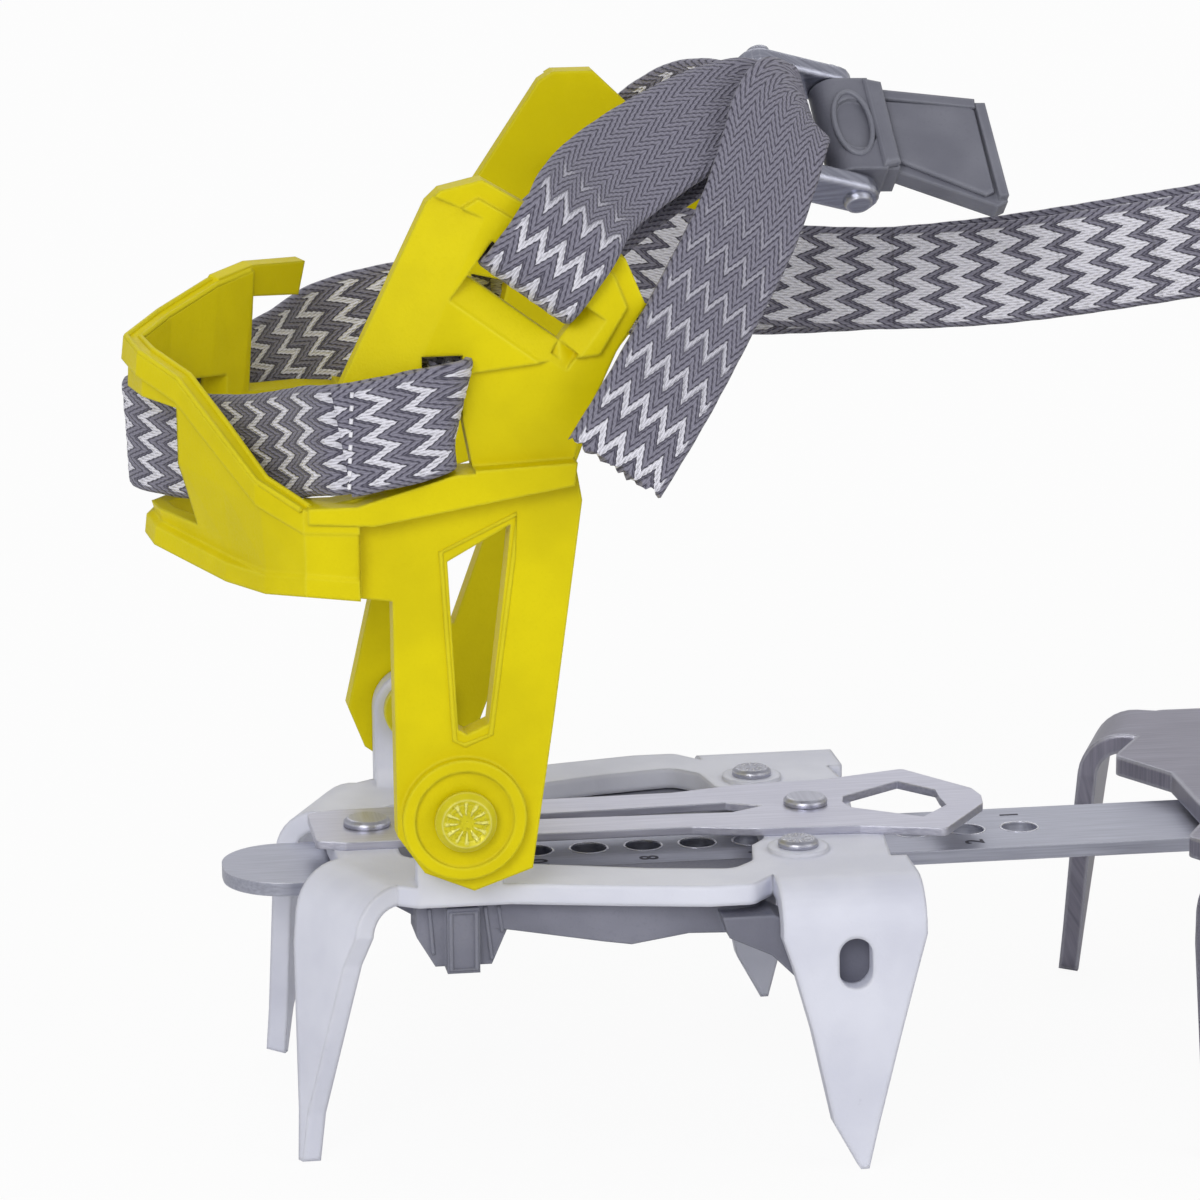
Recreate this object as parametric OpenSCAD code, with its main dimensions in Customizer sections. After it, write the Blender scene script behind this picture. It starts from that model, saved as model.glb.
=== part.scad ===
// Strap-on mountaineering crampon: a heel unit and a front unit joined by an adjustable bar.
// X runs towards the toe, Y across the boot and Z up from the ground.

/* [Sheet steel] */
// Thickness of the spiked frames
sheet_t = 3; // [2:0.1:4]
// Inside radius of the bends above the spikes
bend_r = 4; // [3:0.1:5]
// Height of the frames' top face above the ground
frame_top = 40.7; // [38:0.1:50]
// Width of a spike's blunt tip
tip_w = 1.2; // [0.6:0.1:2]

/* [Heel frame] */
// Half width of the heel frame at the ears
heel_half_w = 28.5; // [26:0.5:32]
// Half width of the heel frame in front of the ears
heel_mid_half_w = 34.5; // [33:0.5:37]
// Half distance between the outer faces of the front heel spikes
heel_spike_half_w = 39; // [37:0.5:42]
// Distance from the heel pivot to the middle of the front heel spikes
heel_spike_x = 54.2; // [52:0.2:58]
// Width of a front heel spike at its bend
heel_spike_w = 20.4; // [16:0.2:22]
// Outward slant of the front heel spikes
heel_spike_slant = 4; // [0:0.5:6]
// Distance from the heel pivot back to the rear spikes' bend
rear_spike_x = 12.2; // [11.6:0.2:14]
// Half distance between the rear spikes' bends
rear_spike_half_w = 19.5; // [18.5:0.5:21]
// Width of a rear spike at its bend
rear_spike_w = 16; // [12:0.2:17]
// Outward turn of the rear spikes
rear_spike_turn = 26; // [22:1:30]
// Outward slant of the rear spikes
rear_spike_slant = 8.7; // [4:0.1:10]
// Width of the slot through the front heel spikes
spike_slot_w = 4.8; // [3:0.1:6]
// Height of the slot through the front heel spikes
spike_slot_h = 7.2; // [6.2:0.1:9]

/* [Heel pivots] */
// Height of the heel basket's pivots above the ground
heel_pivot_z = 52; // [50:0.2:56]
// Width of an ear
ear_w = 12; // [10:0.2:14]
// Radius of the pivot rivets' shanks
rivet_r = 3; // [2:0.1:3.5]
// Radial running clearance of the pivots
pivot_gap = 0.06; // [0.02:0.01:0.1]
// Gap between an ear and the leg beside it
side_gap = 0.4; // [0.3:0.05:0.8]

/* [Lock] */
// Thickness of the spring lock plate
lock_t = 1.2; // [0.8:0.1:1.6]
// Distance from the heel pivot back to the lock plate's rivet
lock_rivet_x = 10; // [8.5:0.1:11]
// Distance from the heel pivot forward to the lock stud
lock_stud_x = 54.3; // [53:0.1:55.5]
// Radius of the lock stud
stud_r = 2.3; // [1.8:0.1:2.4]
// Depth that the stud reaches into the bar
stud_depth = 0.8; // [0.4:0.05:0.8]
// Half width of the lock plate along its springs
lock_half_w = 9; // [7:0.2:10]
// Half width of the finger loop
loop_half_w = 16; // [13:0.2:17]
// Distance from the heel pivot to the loop's nose
loop_nose_x = 80.5; // [78:0.5:86]

/* [Linking bar] */
// Width of the bar
bar_w = 20; // [16:0.2:21]
// Thickness of the bar
bar_t = 2; // [1.5:0.1:2.5]
// Gap between the frames' underside and the bar
bar_gap = 0.9; // [0.5:0.05:1.2]
// Pitch of the numbered holes
hole_pitch = 8; // [7:0.1:9]
// Radius of the numbered holes
hole_r = 2.6; // [2.5:0.05:3]
// Count of the numbered holes
hole_n = 10; // [6:1:10]
// Number of the hole that holds the stud, counted from the toe
hole_used = 5; // [4:1:6]
// Distance from the heel pivot back to the bar's rear end
bar_rear = 31; // [29:0.5:36]

/* [Heel basket] */
// Thickness of the basket's legs
leg_t = 4.1; // [3:0.1:5]
// Height of the leg's pivot boss
boss_h = 1.7; // [1:0.1:2.5]
// Radius of the leg's pivot boss
boss_r = 8.6; // [7:0.1:9]
// Forward lean of the far side of the flexible basket
far_lean = 13; // [10:0.5:15]
// Extra height of the far wing
far_wing_up = 9; // [6:0.5:10]
// Wall of the rear cup
cup_wall = 3.2; // [2.6:0.1:3.6]
// Length of the wings' strap slots
wing_slot_l = 16; // [15.6:0.1:18]

/* [Straps] */
// Width of the webbing
strap_w = 15; // [12:0.5:15]
// Thickness of the webbing
strap_t = 1.6; // [1.2:0.1:1.8]

/* [Buckle] */
// Thickness of the buckle's ring
ring_t = 2.6; // [2:0.1:3]
// Clear width inside the ring
ring_in_w = 17; // [16.5:0.1:19]
// Clear length inside the ring
ring_in_l = 10; // [9:0.5:14]
// Radius of the buckle's pin
pin_r = 1.2; // [0.8:0.1:1.5]
// Length of the pull tab
tab_len = 21.5; // [18:0.5:30]

/* [Front unit] */
// Distance from the heel pivot to the front frame's rear bends
front_rear_x = 108; // [105:0.5:115]
// Half distance between the front frame's rear bends
front_rear_half_w = 42; // [39:0.5:44]
// Half width of the front frame at its ears
front_half_w = 46; // [44:0.5:50]
// Distance from the heel pivot to the toe basket's pivots
toe_pivot_x = 160; // [156:0.5:166]
// Distance from the heel pivot to the side spikes in front
side_spike_x = 196; // [192:0.5:202]
// Half distance between the outer faces of the side spikes
side_spike_half_w = 44; // [42:0.5:46]
// Distance from the heel pivot to the front points' bend
front_edge_x = 226; // [222:0.5:234]
// Half distance between the front points
front_point_half_w = 20; // [17:0.5:22]
// Length of a front point past its bend
front_point_len = 30; // [24:0.5:36]
// Downward bend of the front points
front_point_bend = 42; // [30:1:50]
// Distance from the heel pivot to the bar's hook
bar_hook_x = 123; // [122:0.5:126]
// Height of the toe ring above the ground
toe_ring_z = 129; // [126:0.5:132]

/* [Hidden] */
$fn = 48;

steel_white = "#D8DAE8";
bare_steel = "#A9ABBA";
dark_steel = "#7A788A";
yellow = "#DDD100";
grey_plastic = "#6F717E";
webbing = "#8C8A99";

// Levels and places that several pieces share
frame_low = frame_top - sheet_t;
bend_z = frame_low - bend_r;
bar_top = frame_low - bar_gap;
bar_low = bar_top - bar_t;
ear_out = heel_half_w;
leg_in = ear_out + side_gap;
leg_out = leg_in + leg_t;
boss_out = leg_out + boss_h;
rib_out = leg_out + 3;
first_hole_x = lock_stud_x + hole_pitch * (hole_used - 1);
front_tip_x = front_edge_x + (bend_r + sheet_t) * sin(front_point_bend)
    + front_point_len * cos(front_point_bend);
cup_nose = 49;
cup_mid_z = 50;
back_x = -cup_nose * cos(far_lean / 2) + cup_mid_z * sin(far_lean / 2);
mid_x = (front_tip_x + back_x) / 2;
head_h = 1.2;
seat_gap = 0.3;

function unit(v) = v / norm(v);
function mix(a, b, t) = a + (b - a) * t;
function reverse(list) = [for (i = [len(list) - 1 : -1 : 0]) list[i]];

// Smooth curve through every row of a route, with a few steps between rows
function curve_point(a, b, c, d, t) =
    b + t / 2 * ((c - a) + t * ((2 * a - 5 * b + 4 * c - d) + t * (3 * (b - c) + d - a)));
function curve(rows, steps) = concat(
    [for (i = [0 : len(rows) - 2]) for (k = [0 : steps - 1])
        curve_point(rows[max(i - 1, 0)], rows[i], rows[i + 1],
            rows[min(i + 2, len(rows) - 1)], k / steps)],
    [rows[len(rows) - 1]]);

// Closed skin over a list of rings that have the same count of corners
module skin(rings) {
    n = len(rings[0]);
    last = len(rings) - 1;
    polyhedron(
        points = [for (ring = rings) for (p = ring) p],
        faces = concat(
            [[for (j = [0 : n - 1]) j]],
            [[for (j = [n - 1 : -1 : 0]) last * n + j]],
            [for (i = [0 : last - 1]) for (j = [0 : n - 1])
                [i * n + j, (i + 1) * n + j, (i + 1) * n + (j + 1) % n]],
            [for (i = [0 : last - 1]) for (j = [0 : n - 1])
                [i * n + j, (i + 1) * n + (j + 1) % n, i * n + (j + 1) % n]]),
        convexity = 8);
}

// Flat webbing along a route: each row is a place and the direction of the width there
module ribbon(rows, steps = 4) {
    line = curve(rows, steps);
    last = len(line) - 1;
    skin([for (i = [0 : last])
        let (
            p = [for (k = [0 : 2]) line[i][k]],
            ahead = [for (k = [0 : 2]) line[min(i + 1, last)][k]],
            behind = [for (k = [0 : 2]) line[max(i - 1, 0)][k]],
            along = unit(ahead - behind),
            w = [for (k = [3 : 5]) line[i][k]],
            across = unit(w - (w * along) * along) * strap_w / 2,
            up = unit(cross(along, across)) * strap_t / 2
        )
        [p - across - up, p + across - up, p + across + up, p - across + up]]);
}

// Every piece is drawn from the heel pivot and moved to the middle of the footprint
module placed() {
    translate([-mid_x, 0, 0]) children();
}

module both_sides() {
    children();
    mirror([0, 1, 0]) children();
}

// Upright sheet on the far side, drawn as its side view
module side_sheet(y_in, t) {
    translate([0, y_in + t, 0]) rotate([90, 0, 0]) linear_extrude(t) children();
}

// Level sheet with rounded corners
module flat_sheet(z_low, t, points, corner = 2) {
    translate([0, 0, z_low]) linear_extrude(t)
        offset(r = corner, $fn = 24) offset(delta = -corner) polygon(points);
}

// Length of a blade that slants outwards and just reaches the ground
function blade_length(slant) = (bend_z + bend_r * sin(slant)) / cos(slant);

// Side view of a spike: its level root, its bend and its blade
bend_steps = 8;
function bend_arc(r, angle) =
    [for (k = [0 : bend_steps]) let (a = 90 - angle * k / bend_steps) [r * cos(a), r * sin(a)]];
function blade_end(r, angle, len) =
    [r * sin(angle) + len * cos(angle), r * cos(angle) - len * sin(angle)];

// Spike bent out of a level sheet. Each row of the blade is a distance past the bend and
// the two edges there.
module spike(root, width, blade, angle) {
    len = blade[len(blade) - 1][0] + 2;
    intersection() {
        translate([0, width, bend_z]) rotate([90, 0, 0]) linear_extrude(2 * width)
            polygon(concat(
                [[-root, bend_r], [-root, bend_r + sheet_t]], bend_arc(bend_r + sheet_t, angle),
                [blade_end(bend_r + sheet_t, angle, len), blade_end(bend_r, angle, len)],
                reverse(bend_arc(bend_r, angle))));
        translate([0, 0, bend_z]) rotate([0, angle, 0]) translate([0, 0, -40])
            linear_extrude(80) polygon(concat(
                [[-40, -width / 2]],
                [for (row = blade) [row[0], row[1]]],
                [for (row = reverse(blade)) [row[0], row[2]]],
                [[-40, width / 2]]));
    }
}

// Rivet along Y with its head outside, drawn from the inner end outwards
module side_rivet(y_in, y_head, inner_head_r, head_r) {
    rotate([-90, 0, 0]) rotate_extrude()
        polygon([
            [0, y_in - head_h], [inner_head_r, y_in - head_h], [inner_head_r, y_in - 0.05],
            [rivet_r, y_in - 0.05], [rivet_r, y_head], [head_r, y_head],
            [head_r, y_head + 0.9], [head_r - 0.9, y_head + 1.8], [head_r - 1.6, y_head + 1.5],
            [0, y_head + 1.5]]);
}

// Upright rivet with a low round head at each end
module plate_rivet(z_low, z_high, shank, head) {
    rotate_extrude()
        polygon([
            [0, z_low - head_h], [head - 0.4, z_low - head_h], [head, z_low - 0.8],
            [head, z_low - 0.05], [shank, z_low - 0.05], [shank, z_high + 0.05],
            [head, z_high + 0.05], [head, z_high + 0.7], [head - 0.6, z_high + head_h],
            [0, z_high + head_h]]);
}

// Heel frame: rails round an open middle, two ears and four spikes
heel_rivet_y = 18.9;
heel_rivet_x = 49.7;
plate_shank = 2;
lock_head_r = 3.4;
bend_out = bend_r + sheet_t;
rear_edge_x = -rear_spike_x - 3.6;
front_end_x = heel_spike_x + 9;
ear_root_x = ear_w / 2;
heel_outline = [
    [rear_edge_x, 0],
    [-rear_spike_x - 3.2, rear_spike_half_w - 7],
    [-rear_spike_x + 3.2, rear_spike_half_w + 7],
    [-ear_root_x, heel_half_w],
    [ear_root_x + 1, heel_half_w],
    [ear_root_x + 16, heel_mid_half_w - 2.5],
    [heel_spike_x - 20, heel_mid_half_w],
    [heel_spike_x - 13.7, heel_mid_half_w],
    [heel_spike_x - 8.7, heel_spike_half_w - bend_out - 3.5],
    [front_end_x - 1.5, heel_spike_half_w - bend_out - 3.5],
    [front_end_x, 14],
    [front_end_x - 2, 0]
];
heel_window = [
    [-6.5, 0], [-6.5, 12.5], [-2, 16], [12.4, 19.8], [27, 24.3], [39, 26.6],
    [42.5, 23], [43.6, 15.6], [46, 12.5], [47, 0]
];
function both_halves(half) =
    concat(half, [for (p = reverse(half)) if (p[1] > 0) [p[0], -p[1]]]);

module pivot_ear(x, z, y_out) {
    difference() {
        union() {
            side_sheet(y_out - sheet_t, sheet_t) translate([x - ear_w / 2, frame_low])
                square([ear_w, z - frame_low]);
            translate([x, y_out, z]) rotate([90, 0, 0]) cylinder(r = ear_w / 2, h = sheet_t);
            translate([x - ear_w / 2, y_out - sheet_t - 2.5, frame_top - 0.2])
                rotate([90, 0, 90]) linear_extrude(ear_w)
                    difference() {
                        square([2.7, 2.5]);
                        translate([0, 2.7]) circle(r = 2.5);
                    }
        }
        translate([x, y_out + 1, z]) rotate([90, 0, 0])
            cylinder(r = rivet_r + pivot_gap, h = sheet_t + 2);
    }
}

module heel_front_spike() {
    half = heel_spike_w / 2;
    difference() {
        translate([heel_spike_x, -(heel_spike_half_w - bend_out), 0]) rotate([0, 0, -90])
            spike(8, heel_spike_w, [
                [0.6, -half, half], [5, 1.5 - half, half - 1.2], [14, 4 - half, half - 3.6],
                [27.3, 6.9 - half, half - 7],
                [blade_length(heel_spike_slant), 1 - tip_w / 2, 1 + tip_w / 2]],
                90 - heel_spike_slant);
        translate([heel_spike_x, -heel_spike_half_w - 1, frame_top - 10.9]) rotate([-90, 0, 0]) {
            for (z = [-1, 1]) translate([0, z * (spike_slot_h - spike_slot_w) / 2, 0])
                cylinder(d = spike_slot_w, h = sheet_t + 2);
            translate([-spike_slot_w / 2, -(spike_slot_h - spike_slot_w) / 2, 0])
                cube([spike_slot_w, spike_slot_h - spike_slot_w, sheet_t + 2]);
        }
    }
}

module rear_spike(x, y) {
    half = rear_spike_w / 2;
    translate([x, -y, 0]) rotate([0, 0, 180 + rear_spike_turn])
        spike(6, rear_spike_w, [
            [0.6, -half, half], [5, 0.4 - half, half - 2.1], [27.7, 6.6 - half, half - 6.9],
            [blade_length(rear_spike_slant), 8.6 - half - tip_w / 2, 8.6 - half + tip_w / 2]],
            90 - rear_spike_slant);
}

module heel_frame() {
    color(steel_white) placed() difference() {
        union() {
            flat_sheet(frame_low, sheet_t, both_halves(heel_outline));
            both_sides() {
                pivot_ear(0, heel_pivot_z, ear_out);
                heel_front_spike();
                rear_spike(-rear_spike_x, rear_spike_half_w);
                translate([heel_rivet_x, heel_rivet_y, frame_top - 1])
                    cylinder(r = 4.4, h = 1.6);
            }
        }
        flat_sheet(frame_low - 1, sheet_t + 2, both_halves(heel_window), 3);
        both_sides() translate([heel_rivet_x, heel_rivet_y, frame_low - 1])
            cylinder(r = plate_shank + 0.05, h = sheet_t + 3);
        translate([-lock_rivet_x, 0, frame_low - 1]) cylinder(r = plate_shank + 0.05, h = sheet_t + 2);
        translate([-lock_rivet_x, 0, frame_low - 1]) cylinder(r = lock_head_r + 0.06, h = 1.6);
        translate([lock_stud_x, 0, frame_low - 1]) cylinder(r = stud_r + 0.5, h = sheet_t + 2);
    }
}

// Snow plate under the heel frame: pads under the rails and a floor under the bar
arm_in = 27.5;
arm_t = heel_spike_half_w - sheet_t - 1 - arm_in;
heel_pad_low = frame_low - 4.5;
floor_top = bar_low - 0.4;
module heel_snow_plate() {
    outline = [
        [-9, 0], [-9, 16], [-5, 24], [20, 29], [38, 31], [42, 30], [42, 26], [46, 22], [46, 0]
    ];
    color(grey_plastic) placed() difference() {
        union() {
            intersection() {
                flat_sheet(frame_low - 10, 10 - seat_gap, both_halves(outline), 1.5);
                translate([0, 40, 0]) rotate([90, 0, 0]) linear_extrude(80)
                    polygon([
                        [-10, frame_low], [-10, heel_pad_low + 2], [8, heel_pad_low],
                        [24, heel_pad_low - 2], [32, heel_pad_low - 0.5],
                        [48, heel_pad_low - 0.5], [48, frame_low]]);
            }
            both_sides() {
                side_sheet(19, 7) polygon([
                    [-6, frame_low - 0.5], [-6, frame_low - 5], [-3.4, frame_low - 9.4],
                    [4.6, frame_low - 9.4], [6.8, frame_low - 4.4], [6.8, frame_low - 0.5]]);
                side_sheet(18, 9.2) polygon([
                    [-1.8, frame_low - 0.7], [-1.8, frame_low - 10.2], [2.8, frame_low - 10.2],
                    [2.8, frame_low - 0.7]]);
                side_sheet(arm_in, arm_t) polygon([
                    [36, frame_low - 1.6], [37, frame_low - 4.6], [43, frame_low - 7.4],
                    [heel_spike_x - 6.4, frame_low - 12.2], [heel_spike_x + 4.4, frame_low - 12.2],
                    [heel_spike_x + 4.4, bend_z + 0.9], [heel_spike_x - 8, bend_z + 0.9],
                    [43.4, frame_low - 1.6]]);
            }
        }
        translate([-20, -bar_w / 2 - 1, floor_top]) cube([80, bar_w + 2, 10]);
        both_sides() translate([heel_rivet_x, heel_rivet_y, frame_low - 12]) cylinder(r = 4.2, h = 14);
        translate([lock_stud_x, 0, frame_low - 12]) cylinder(r = 4, h = 14);
    }
}

module heel_plate_rivet_near() {
    color(bare_steel) placed() translate([heel_rivet_x, -heel_rivet_y, 0])
        plate_rivet(frame_low, frame_top + 0.6, plate_shank, 2.9);
}
module heel_plate_rivet_far() {
    color(bare_steel) placed() translate([heel_rivet_x, heel_rivet_y, 0])
        plate_rivet(frame_low, frame_top + 0.6, plate_shank, 2.9);
}

module heel_pivot_rivet() {
    side_rivet(ear_out - sheet_t, boss_out + 0.1, 4.6, 4.3);
}
module heel_pivot_rivet_near() {
    color(yellow) placed() mirror([0, 1, 0]) translate([0, 0, heel_pivot_z]) heel_pivot_rivet();
}
module heel_pivot_rivet_far() {
    color(yellow) placed() translate([0, 0, heel_pivot_z]) heel_pivot_rivet();
}

// Spring lock plate with its finger loop
lock_low = frame_top + 0.02;
module lock_plate() {
    outline = [
        [-18, 0], [-18, 7], [-14, lock_half_w - 0.5], [36, lock_half_w],
        [46, lock_half_w + 2.5], [60, lock_half_w + 3.5], [loop_nose_x - 8.6, loop_half_w],
        [loop_nose_x - 0.6, 4], [loop_nose_x, 0]
    ];
    loop = [
        [loop_nose_x - 20.7, 0], [loop_nose_x - 20, 3], [loop_nose_x - 10.6, loop_half_w - 6.4],
        [loop_nose_x - 6, 4], [loop_nose_x - 6.2, 0]
    ];
    slot = [[6, 0], [6, 1], [43, 2.6], [48, 0]];
    color(bare_steel) placed() difference() {
        flat_sheet(lock_low, lock_t, both_halves(outline), 1);
        translate([0, 0, lock_low - 1]) linear_extrude(lock_t + 2) {
            polygon(both_halves(loop));
            polygon(both_halves(slot));
        }
        translate([-lock_rivet_x, 0, lock_low - 1]) cylinder(r = plate_shank + 0.05, h = lock_t + 2);
        translate([lock_stud_x, 0, lock_low - 1]) cylinder(r = stud_r + 0.05, h = lock_t + 2);
    }
}

module lock_stud() {
    top = lock_low + lock_t;
    color(bare_steel) placed() translate([lock_stud_x, 0, 0]) rotate_extrude()
        polygon([
            [0, bar_top - stud_depth], [stud_r - 0.4, bar_top - stud_depth],
            [stud_r, bar_top - stud_depth + 0.4], [stud_r, top + 0.05], [3.2, top + 0.05],
            [3.2, top + 0.7], [2.7, top + head_h], [0, top + head_h]]);
}

module lock_rivet() {
    color(bare_steel) placed() translate([-lock_rivet_x, 0, 0])
        plate_rivet(frame_low + 0.6, lock_low + lock_t, plate_shank, lock_head_r);
}

// Numbered bar: it slides under the heel frame and hooks up through the front frame
hook_w = 6;
hook_bar_w = 12;
module linking_bar() {
    end_r = 9;
    color(bare_steel) placed() difference() {
        union() {
            translate([0, 0, bar_low]) linear_extrude(bar_t) polygon([
                [end_r - bar_rear, -bar_w / 2], [bar_hook_x - 8, -bar_w / 2],
                [bar_hook_x + 1, -hook_w / 2], [bar_hook_x + 1, hook_w / 2],
                [bar_hook_x - 8, bar_w / 2], [end_r - bar_rear, bar_w / 2]]);
            translate([end_r - bar_rear, bar_w / 2 - end_r, bar_low]) cylinder(r = end_r, h = bar_t);
            translate([end_r - bar_rear, end_r - bar_w / 2, bar_low]) cylinder(r = end_r, h = bar_t);
            translate([-bar_rear, end_r - bar_w / 2, bar_low]) cube([end_r, bar_w - 2 * end_r, bar_t]);
            translate([bar_hook_x - 1, -hook_w / 2, bar_low])
                cube([bar_t, hook_w, frame_top + 1 - bar_low]);
            translate([bar_hook_x - 1, -hook_bar_w / 2, frame_top + 0.3])
                cube([bar_t, hook_bar_w, 3]);
        }
        for (i = [0 : hole_n - 1]) translate([first_hole_x - i * hole_pitch, 0, bar_low - 1])
            cylinder(r = hole_r, h = bar_t + 2);
    }
}

// Heel basket: one flexible moulding with two legs, two wings and a rear cup.
// Its side views are drawn about the pivot.
leg_outline = [
    [-9.2, -2.4], [-5.5, -7.8], [1.4, -10.7], [9.6, -7.8], [12.7, 13.3], [16.9, 44.3],
    [15.9, 50.2], [17.5, 55.7], [20, 61], [-10, 61], [-10, 46.4], [-21, 44.6],
    [-21, 32.8], [-9.4, 31.1]
];
leg_slot = [[7, 41.3], [-1.8, 36.4], [-0.6, 12.5], [0.6, 11.8], [3.7, 13.2], [6.4, 35.5]];
loop_hole = [[-5, 48.9], [1.9, 49.2], [0.6, 56], [0.6, 65.2], [-5, 65.2]];
rib_outline = [
    [15.9, 50.2], [15.5, 47], [-12, 42.4], [-21, 43], [-21, 45.2], [-14.4, 45.2],
    [-1.5, 48.9], [1.9, 49.6]
];
wing_slot_tilt = -36.5;
wing_slot_at = [9.4, 73.6];
far_shift = [2.5, far_wing_up];
function wing_outline(up) = [
    [-4.5, 59.8], [-15.8, 57.8], [-16.1, 60.8], [-7.8, 78], [-3.9, 86] + up,
    [-2.1, 87.7] + up, [3.6, 89] + up, [18.2, 80.2] + up, [23.1, 77.6] + up,
    [25.8, 71.2] + up, [21.7, 64.7] + up * 0.5, [17.5, 55.7], [1, 55.7]
];
function inset_wing(up) = [
    [-2.6, 62.2], [-13, 60.6], [-5.2, 77], [-1.6, 84] + up, [3, 86.6] + up, [17, 78] + up,
    [21.4, 75.6] + up, [23.2, 71] + up, [19.4, 64.6] + up * 0.5
];

// Bevel along a wing's rear edge, from a low corner towards a high one
wing_bevel = 14;
module wing_bevel_cut(up) {
    low = [-16.6, 59];
    high = [-4.4, 85.4] + up;
    translate([low[0], leg_out - 1.2, low[1]])
        rotate([0, -atan2(high[1] - low[1], high[0] - low[0]), 0])
            translate([-3, 0, 0]) rotate([wing_bevel, 0, 0]) translate([0, 0, -12])
                cube([norm(high - low) + 5, 6, 20]);
}

module wing_slot(up) {
    translate(wing_slot_at + up) rotate(wing_slot_tilt)
        translate([-wing_slot_l / 2, -3]) square([wing_slot_l, 6]);
}

// One side of the basket in its own upright plane, with the outer face towards +Y
module basket_side(up) {
    difference() {
        union() {
            side_sheet(leg_in, leg_t) difference() {
                polygon(leg_outline);
                polygon(leg_slot);
            }
            side_sheet(leg_in, leg_t) polygon(wing_outline(up));
            side_sheet(leg_in, leg_t + 0.8) polygon(inset_wing(up));
            side_sheet(leg_in, leg_t + 3) polygon(rib_outline);
            translate([0, leg_out - 0.01, 0]) rotate([-90, 0, 0]) cylinder(r = boss_r, h = boss_h);
        }
        translate([0, leg_in - 1, 0]) rotate([-90, 0, 0])
            cylinder(r = rivet_r + pivot_gap, h = leg_t + boss_h + 3);
        translate([0, boss_out - 0.6, 0]) rotate([-90, 0, 0]) cylinder(r = 6.9, h = 3);
        side_sheet(leg_in - 1, leg_t + 6) wing_slot(up);
        side_sheet(leg_in - 1, leg_t + 6) polygon(loop_hole);
        wing_bevel_cut(up);
        translate([wing_slot_at[0] + up[0], 0, wing_slot_at[1] + up[1]])
            rotate([0, -wing_slot_tilt, 0]) {
                translate([-wing_slot_l / 2, 0, 0]) rotate([90, 0, 90])
                    linear_extrude(wing_slot_l + 3) polygon([
                        [leg_out - 1.6, -2.9], [leg_out + 4, -2.9], [leg_out + 4, -10],
                        [leg_out + 0.4, -6.6]]);
                translate([wing_slot_l / 2 - 0.1, 0, -5]) linear_extrude(8) polygon([
                    [0, leg_out - 1.6], [3.6, leg_out + 0.9], [6, leg_out + 4],
                    [0, leg_out + 4]]);
            }
    }
}

// The basket is sprung, so its far side leans further forward than its near side
function lean(y) = far_lean * min(1, max(0, (y + leg_in) / (2 * leg_in)));
function leaned(p) = [
    p[0] * cos(lean(p[1])) + p[2] * sin(lean(p[1])), p[1],
    p[2] * cos(lean(p[1])) - p[0] * sin(lean(p[1]))
];

// Each row of the cup: x and y of the outer face, then low edge, high edge and toe-in below
cup_rows = [
    [-14, -35.4, 31.9, 44.6, 0.3], [-21.5, -35.2, 32.8, 45, 0.3], [-27, -29.6, 32, 48, 1],
    [-33, -22.2, 31.2, 53, 2.2], [-39.5, -14.4, 30.6, 57.4, 3.6], [-46, -7, 30, 58.2, 4.8],
    [-cup_nose, 0, 29.8, 57.6, 5.6],
    [-46, 7, 30, 58.8, 4.8], [-40.6, 13.2, 30.5, 61.8, 3.8], [-36.4, 18.2, 30.9, 63.2, 2.9],
    [-35.4, 19.4, 31, 45.6, 2.7], [-33, 22.2, 31.2, 45.2, 2.2], [-27, 29.6, 32, 44.8, 1],
    [-21.5, 35.2, 32.8, 44.6, 0.3], [-14, 35.4, 31.9, 44.6, 0.3]
];
function cup_inward(i) =
    let (
        a = cup_rows[max(i - 1, 0)],
        b = cup_rows[min(i + 1, len(cup_rows) - 1)]
    ) unit([b[1] - a[1], a[0] - b[0], 0]);
cup_split = 45;
module cup() {
    last = len(cup_rows) - 1;
    skin([for (i = [0 : last])
        let (
            r = cup_rows[i],
            n = cup_inward(i),
            rim = i < 2 || i > last - 5 ? 0.3 : 1,
            lip = i < 3 || i > last - 5 ? 0.3 : 1.1,
            split = min(cup_split, r[3] - 5),
            top = i < 2 || i > last - 5 ? cup_wall : cup_wall - 1.3
        )
        [for (p = [
            [r[4] - lip, r[2]], [r[4] - lip, r[2] + 2.6], [r[4], r[2] + 3.2],
            [r[4] * 0.12, split], [0, r[3] - 3.6], [-rim, r[3] - 3.2], [-rim, r[3]],
            [top, r[3]], [cup_wall + r[4] * 0.12, split], [cup_wall + r[4], r[2]]])
            leaned([r[0] + n[0] * p[0], r[1] + n[1] * p[0], p[1]])]]);
}

// Lug at the far end of the cup's rim, over the strap
lug_rows = [[-40.2, 13.7, 59.6, 62.6], [-36.4, 18.2, 59.2, 63.8], [-30, 26, 58.4, 63.4]];
module cup_lug() {
    n = unit([lug_rows[2][1] - lug_rows[0][1], lug_rows[0][0] - lug_rows[2][0], 0]);
    skin([for (r = lug_rows)
        [for (p = [[-1.5, r[2]], [-1.5, r[3] - 1], [-0.9, r[3]], [1.3, r[3]], [1.3, r[2]]])
            leaned([r[0] + n[0] * p[0], r[1] + n[1] * p[0], p[1]])]]);
}

module heel_basket() {
    color(yellow) placed() translate([0, 0, heel_pivot_z]) difference() {
        union() {
            mirror([0, 1, 0]) basket_side([0, 0]);
            rotate([0, far_lean, 0]) basket_side(far_shift);
            cup();
            cup_lug();
        }
        rotate([0, far_lean / 2, 0]) translate([-70, -13.5, 34.4]) cube([40, 27, 16.2]);
    }
}

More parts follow.
